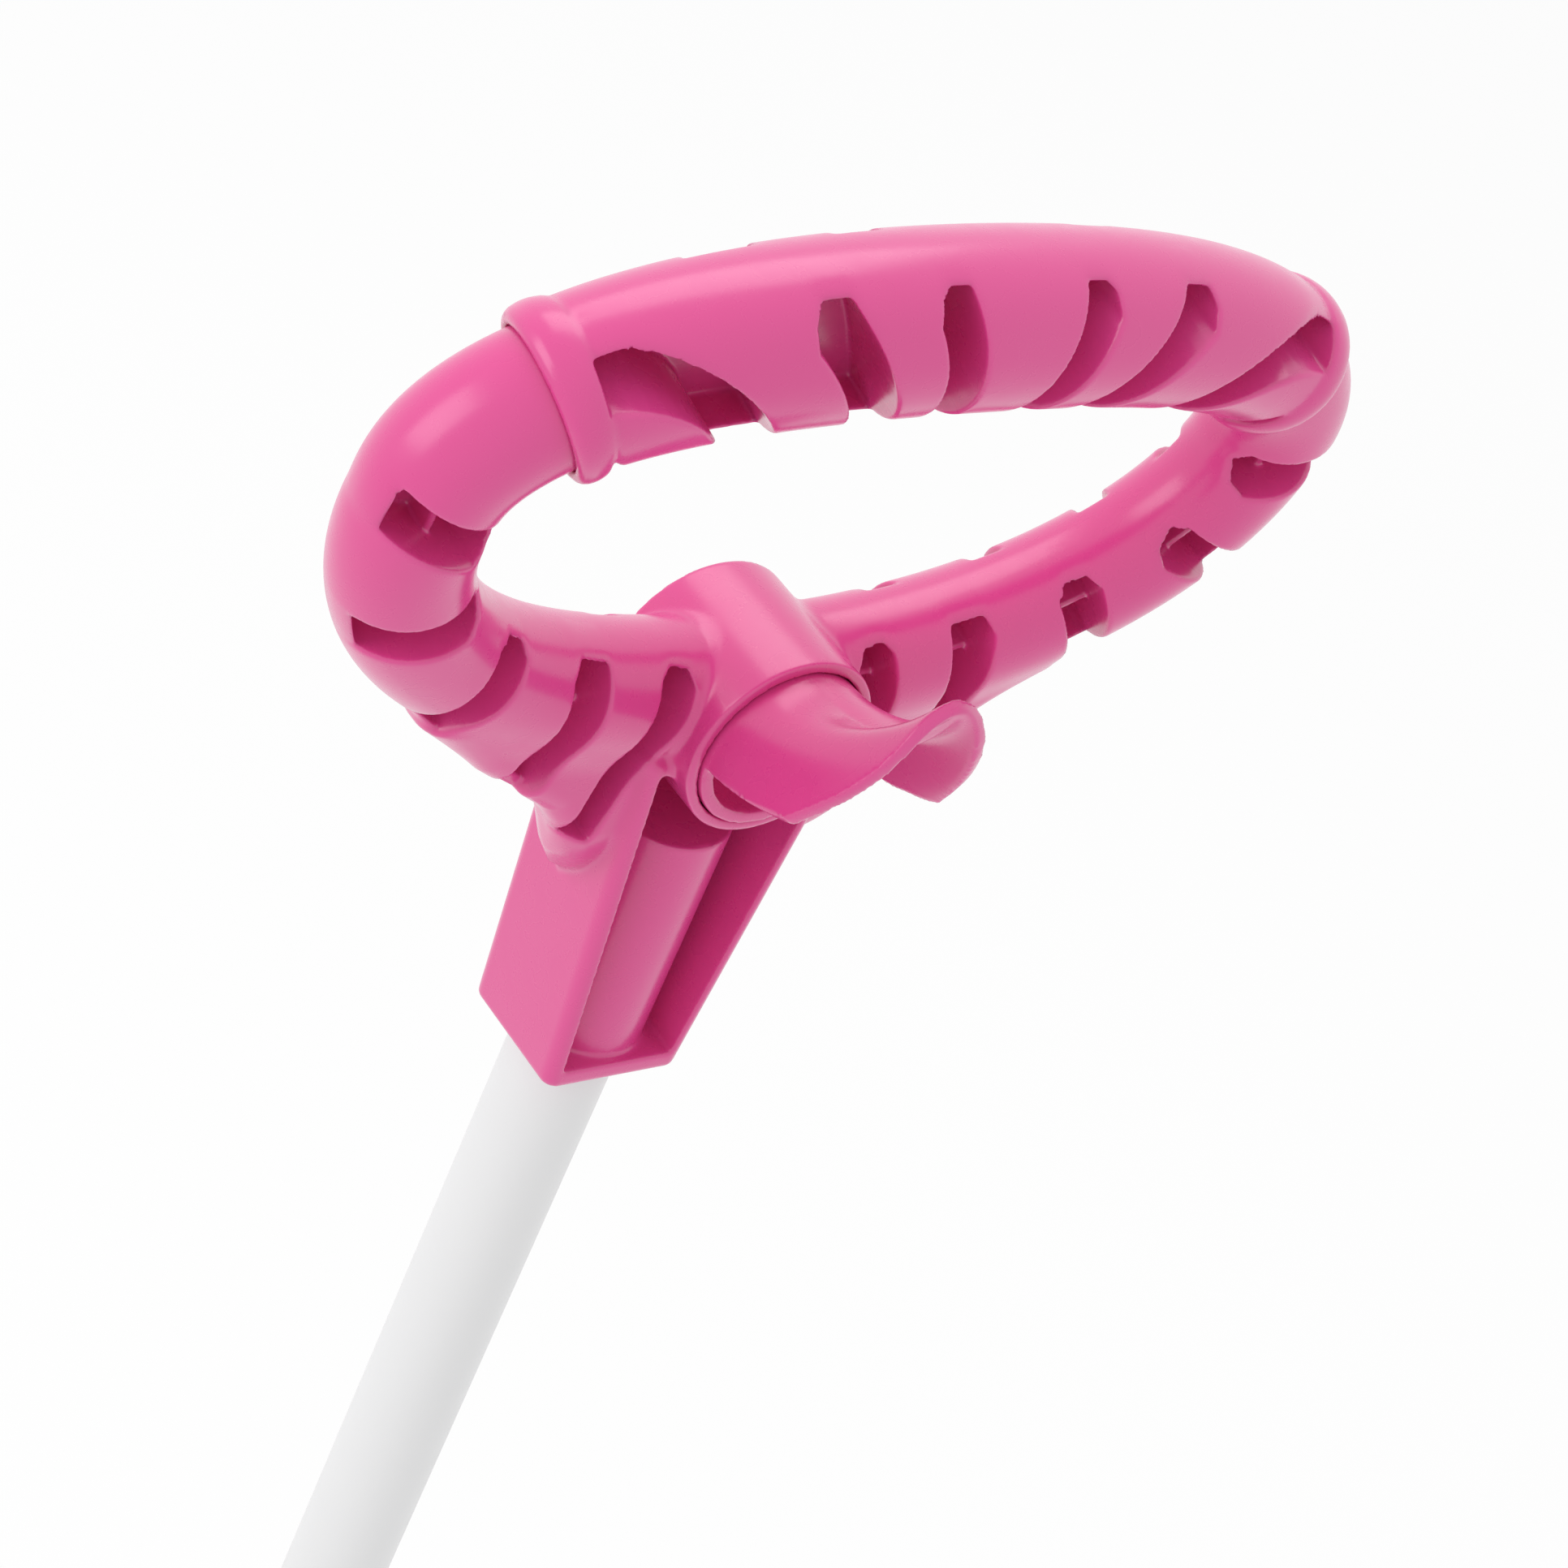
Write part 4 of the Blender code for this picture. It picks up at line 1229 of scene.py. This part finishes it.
@dataclass(frozen=True)
class Finish:
    """One surface finish: its colours, gloss and the fine relief of its skin."""

    name: str
    slot: Slot
    main: Colour
    drift: Colour
    drift_scale: float
    low: float
    high: float
    gloss_scale: float
    relief_scale: float
    relief_strength: float
    relief_depth: float
    metallic: float = 0.0
    coat: float = 0.0
    coat_roughness: float = 0.1
    ior: float = 1.5

    def material(self) -> bpy.types.Material:
        """Build the finish as a procedural material.

        Returns:
            The material.
        """
        made = bpy.data.materials.new(self.name)
        made.use_nodes = True
        tree = made.node_tree
        shader = tree.nodes["Principled BSDF"]
        colours = {"Scale": self.drift_scale, "Main": self.main, "Drift": self.drift}
        tone = self.placed(tree, NodeGroup.TONE, colours)
        spread = {"Scale": self.gloss_scale, "Low": self.low, "High": self.high}
        gloss = self.placed(tree, NodeGroup.BREAKUP, spread)
        sizes = {"Scale": self.relief_scale, "Strength": self.relief_strength, "Depth": self.relief_depth}
        relief = self.placed(tree, NodeGroup.RELIEF, sizes)
        tree.links.new(tone.outputs["Colour"], shader.inputs["Base Color"])
        tree.links.new(gloss.outputs["Roughness"], shader.inputs["Roughness"])
        tree.links.new(relief.outputs["Normal"], shader.inputs["Normal"])
        shader.inputs["Metallic"].default_value = self.metallic
        shader.inputs["Coat Weight"].default_value = self.coat
        shader.inputs["Coat Roughness"].default_value = self.coat_roughness
        shader.inputs["IOR"].default_value = self.ior
        return made

    def placed(self, tree: bpy.types.NodeTree, kind: NodeGroup, values: dict[str, object]) -> bpy.types.Node:
        """Place a shared group in a material with this finish's own values.

        Args:
            tree: The material's nodes.
            kind: Which group.
            values: Value by input name.

        Returns:
            The group node.
        """
        node = tree.nodes.new("ShaderNodeGroup")
        node.node_tree = bpy.data.node_groups[kind.value]
        for name, value in values.items():
            node.inputs[name].default_value = value
        return node

    def dress(self, things: list[bpy.types.Object]) -> None:
        """Give pieces this finish.

        Args:
            things: Pieces or CAD nodes.
        """
        made = self.material()
        for thing in things:
            thing.data.materials.clear()
            thing.data.materials.append(made)


PINK_GLOSS = Finish(
    "glossy_pink_moulding", Slot.PINK, (0.71, 0.055, 0.265, 1.0), (0.74, 0.062, 0.285, 1.0), 18.0,
    0.24, 0.32, 260.0, 420.0, 0.006, 0.0002, coat=0.5, coat_roughness=0.22,
)
WHITE_COAT = Finish(
    "satin_white_coating", Slot.TUBE, (0.78, 0.78, 0.79, 1.0), (0.81, 0.81, 0.81, 1.0), 9.0,
    0.30, 0.38, 180.0, 700.0, 0.08, 0.0002,
)
ZINC = Finish(
    "zinc_plated_steel", Slot.STEEL, (0.56, 0.56, 0.58, 1.0), (0.66, 0.66, 0.65, 1.0), 400.0,
    0.26, 0.42, 900.0, 1500.0, 0.12, 0.0001, metallic=1.0,
)
GREY_RUBBER = Finish(
    "matt_grey_rubber", Slot.RUBBER, (0.16, 0.16, 0.165, 1.0), (0.20, 0.20, 0.20, 1.0), 60.0,
    0.62, 0.78, 300.0, 1100.0, 0.3, 0.0003,
)


# Studio


@dataclass
class Studio:
    """Floor, soft lights and the camera at the photograph's viewing angle."""

    frame: Frame
    camera_offset: tuple[float, float, float] = (-0.32147, -0.30064, 0.28496)
    azimuth: float = math.radians(-48.68)
    elevation: float = math.radians(33.98)
    roll: float = math.radians(24.53)
    lens: float = 88.99
    floor_half: float = 4.0
    floor_white: float = 0.9
    floor_glow: float = 0.85
    world_strength: float = 0.85

    def camera(self) -> bpy.types.Object:
        """Place the camera and make it the scene's.

        Returns:
            The camera.
        """
        flat = math.cos(self.elevation)
        aside = math.sin(self.azimuth) * flat
        ahead = -math.cos(self.azimuth) * flat
        back = Vector((aside, ahead, math.sin(self.elevation)))
        level = Vector((0.0, 0.0, 1.0)).cross(back).normalized()
        over = back.cross(level)
        right = math.cos(self.roll) * level + math.sin(self.roll) * over
        up = -math.sin(self.roll) * level + math.cos(self.roll) * over
        data = bpy.data.cameras.new("view")
        data.lens = self.lens
        data.sensor_width = 36.0
        data.sensor_fit = "HORIZONTAL"
        thing = bpy.data.objects.new("view", data)
        bpy.context.scene.collection.objects.link(thing)
        place = Matrix((right, up, back)).transposed().to_4x4()
        where = Vector(self.camera_offset) + Vector((0.0, 0.0, self.frame.height))
        thing.matrix_world = Matrix.Translation(where) @ place
        bpy.context.scene.camera = thing
        return thing

    def lamp(self, name: str, offset: tuple[float, float, float], size: Point, power: float) -> None:
        """Place a soft lamp that faces the hand loop.

        Args:
            name: Name of the lamp.
            offset: Place from the barrel crossing, in metres.
            size: Width and height of the lamp.
            power: Power in watts.
        """
        data = bpy.data.lights.new(name, "AREA")
        data.shape = "RECTANGLE"
        data.size, data.size_y = size
        data.energy = power
        thing = bpy.data.objects.new(name, data)
        bpy.context.scene.collection.objects.link(thing)
        thing.location = Vector(offset) + Vector((0.0, 0.0, self.frame.height))
        way = -Vector(offset)
        thing.rotation_euler = way.to_track_quat("-Z", "Y").to_euler()

    def build(self) -> None:
        """Make the floor, the lamps, the world and the camera."""
        bpy.context.scene.view_settings.view_transform = "Standard"
        self.camera()
        self.lamp("over", (0.30, 0.70, 1.15), (1.1, 0.8), 5.0)
        self.lamp("left", (-1.10, 0.25, 0.50), (0.8, 0.8), 4.0)
        self.world()
        self.floor()

    def seen_rays(self, tree: bpy.types.NodeTree) -> bpy.types.NodeSocket:
        """Tell the rays that show the background from the rays that only carry light.

        Args:
            tree: Nodes of the world or of a stage material.

        Returns:
            A socket that is 1 for camera, glossy and transmission rays, and otherwise 0.
        """
        path = tree.nodes.new("ShaderNodeLightPath")
        seen = path.outputs["Is Camera Ray"]
        for kind in ("Is Glossy Ray", "Is Transmission Ray"):
            most = tree.nodes.new("ShaderNodeMath")
            most.operation = "MAXIMUM"
            tree.links.new(seen, most.inputs[0])
            tree.links.new(path.outputs[kind], most.inputs[1])
            seen = most.outputs["Value"]
        return seen

    def world(self) -> None:
        """Light the scene evenly and show white behind it."""
        world = bpy.data.worlds.new("studio")
        bpy.context.scene.world = world
        world.use_nodes = True
        tree = world.node_tree
        back = tree.nodes["Background"]
        back.inputs["Color"].default_value = (1.0, 1.0, 1.0, 1.0)
        seen = self.seen_rays(tree)
        strength = tree.nodes.new("ShaderNodeMapRange")
        strength.inputs["To Min"].default_value = self.world_strength
        strength.inputs["To Max"].default_value = 1.0
        tree.links.new(seen, strength.inputs["Value"])
        tree.links.new(strength.outputs["Result"], back.inputs["Strength"])

    def floor(self) -> None:
        """Lay a white floor that shows a faint shadow."""
        half = self.floor_half
        points = np.array(((-half, -half, 0.0), (half, -half, 0.0), (half, half, 0.0), (-half, half, 0.0)))
        mesh = bpy.data.meshes.new("floor")
        mesh.from_pydata(points, [], [(0, 1, 2, 3)])
        thing = bpy.data.objects.new("floor", mesh)
        bpy.context.scene.collection.objects.link(thing)
        made = bpy.data.materials.new("white_floor")
        made.use_nodes = True
        tree = made.node_tree
        shader = tree.nodes["Principled BSDF"]
        shader.inputs["Base Color"].default_value = (*(self.floor_white,) * 3, 1.0)
        shader.inputs["Roughness"].default_value = 0.9
        glow = tree.nodes.new("ShaderNodeEmission")
        seen = self.seen_rays(tree)
        share = tree.nodes.new("ShaderNodeMath")
        share.operation = "MULTIPLY"
        share.inputs[1].default_value = self.floor_glow
        tree.links.new(seen, share.inputs[0])
        mix = tree.nodes.new("ShaderNodeMixShader")
        tree.links.new(share.outputs["Value"], mix.inputs["Fac"])
        tree.links.new(shader.outputs["BSDF"], mix.inputs[1])
        tree.links.new(glow.outputs["Emission"], mix.inputs[2])
        tree.links.new(mix.outputs["Shader"], tree.nodes["Material Output"].inputs["Surface"])
        mesh.materials.append(made)


def main() -> None:
    """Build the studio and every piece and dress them."""
    logging.basicConfig(level=logging.INFO, format="%(message)s")
    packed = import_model()
    joint = packed["record"]["behaviour"]["joints"][0]
    frame = Frame(height=joint["pos_m"][2])
    loop = HandLoop()
    Studio(frame).build()
    make_groups()

    pink = [HandleYoke(frame, loop).build(), CrossGrip(frame, loop).build()]
    pink += [SwivelHook(frame).build(), RearCap(frame).build()]
    pole = Pole(frame)
    tube = pole.build_tube()
    cap = pole.build_cap()
    steel = Fasteners(frame, loop).build()
    steel += [packed["nodes"]["hook_screw"], packed["nodes"]["hook_washer"]]

    PINK_GLOSS.dress(pink)
    WHITE_COAT.dress([tube])
    GREY_RUBBER.dress([cap])
    ZINC.dress(steel)
    for piece in pink + [tube, cap] + steel:
        LOG.info("%s: %d faces", piece.name, len(piece.data.polygons))
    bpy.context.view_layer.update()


if __name__ == "__main__":
    main()
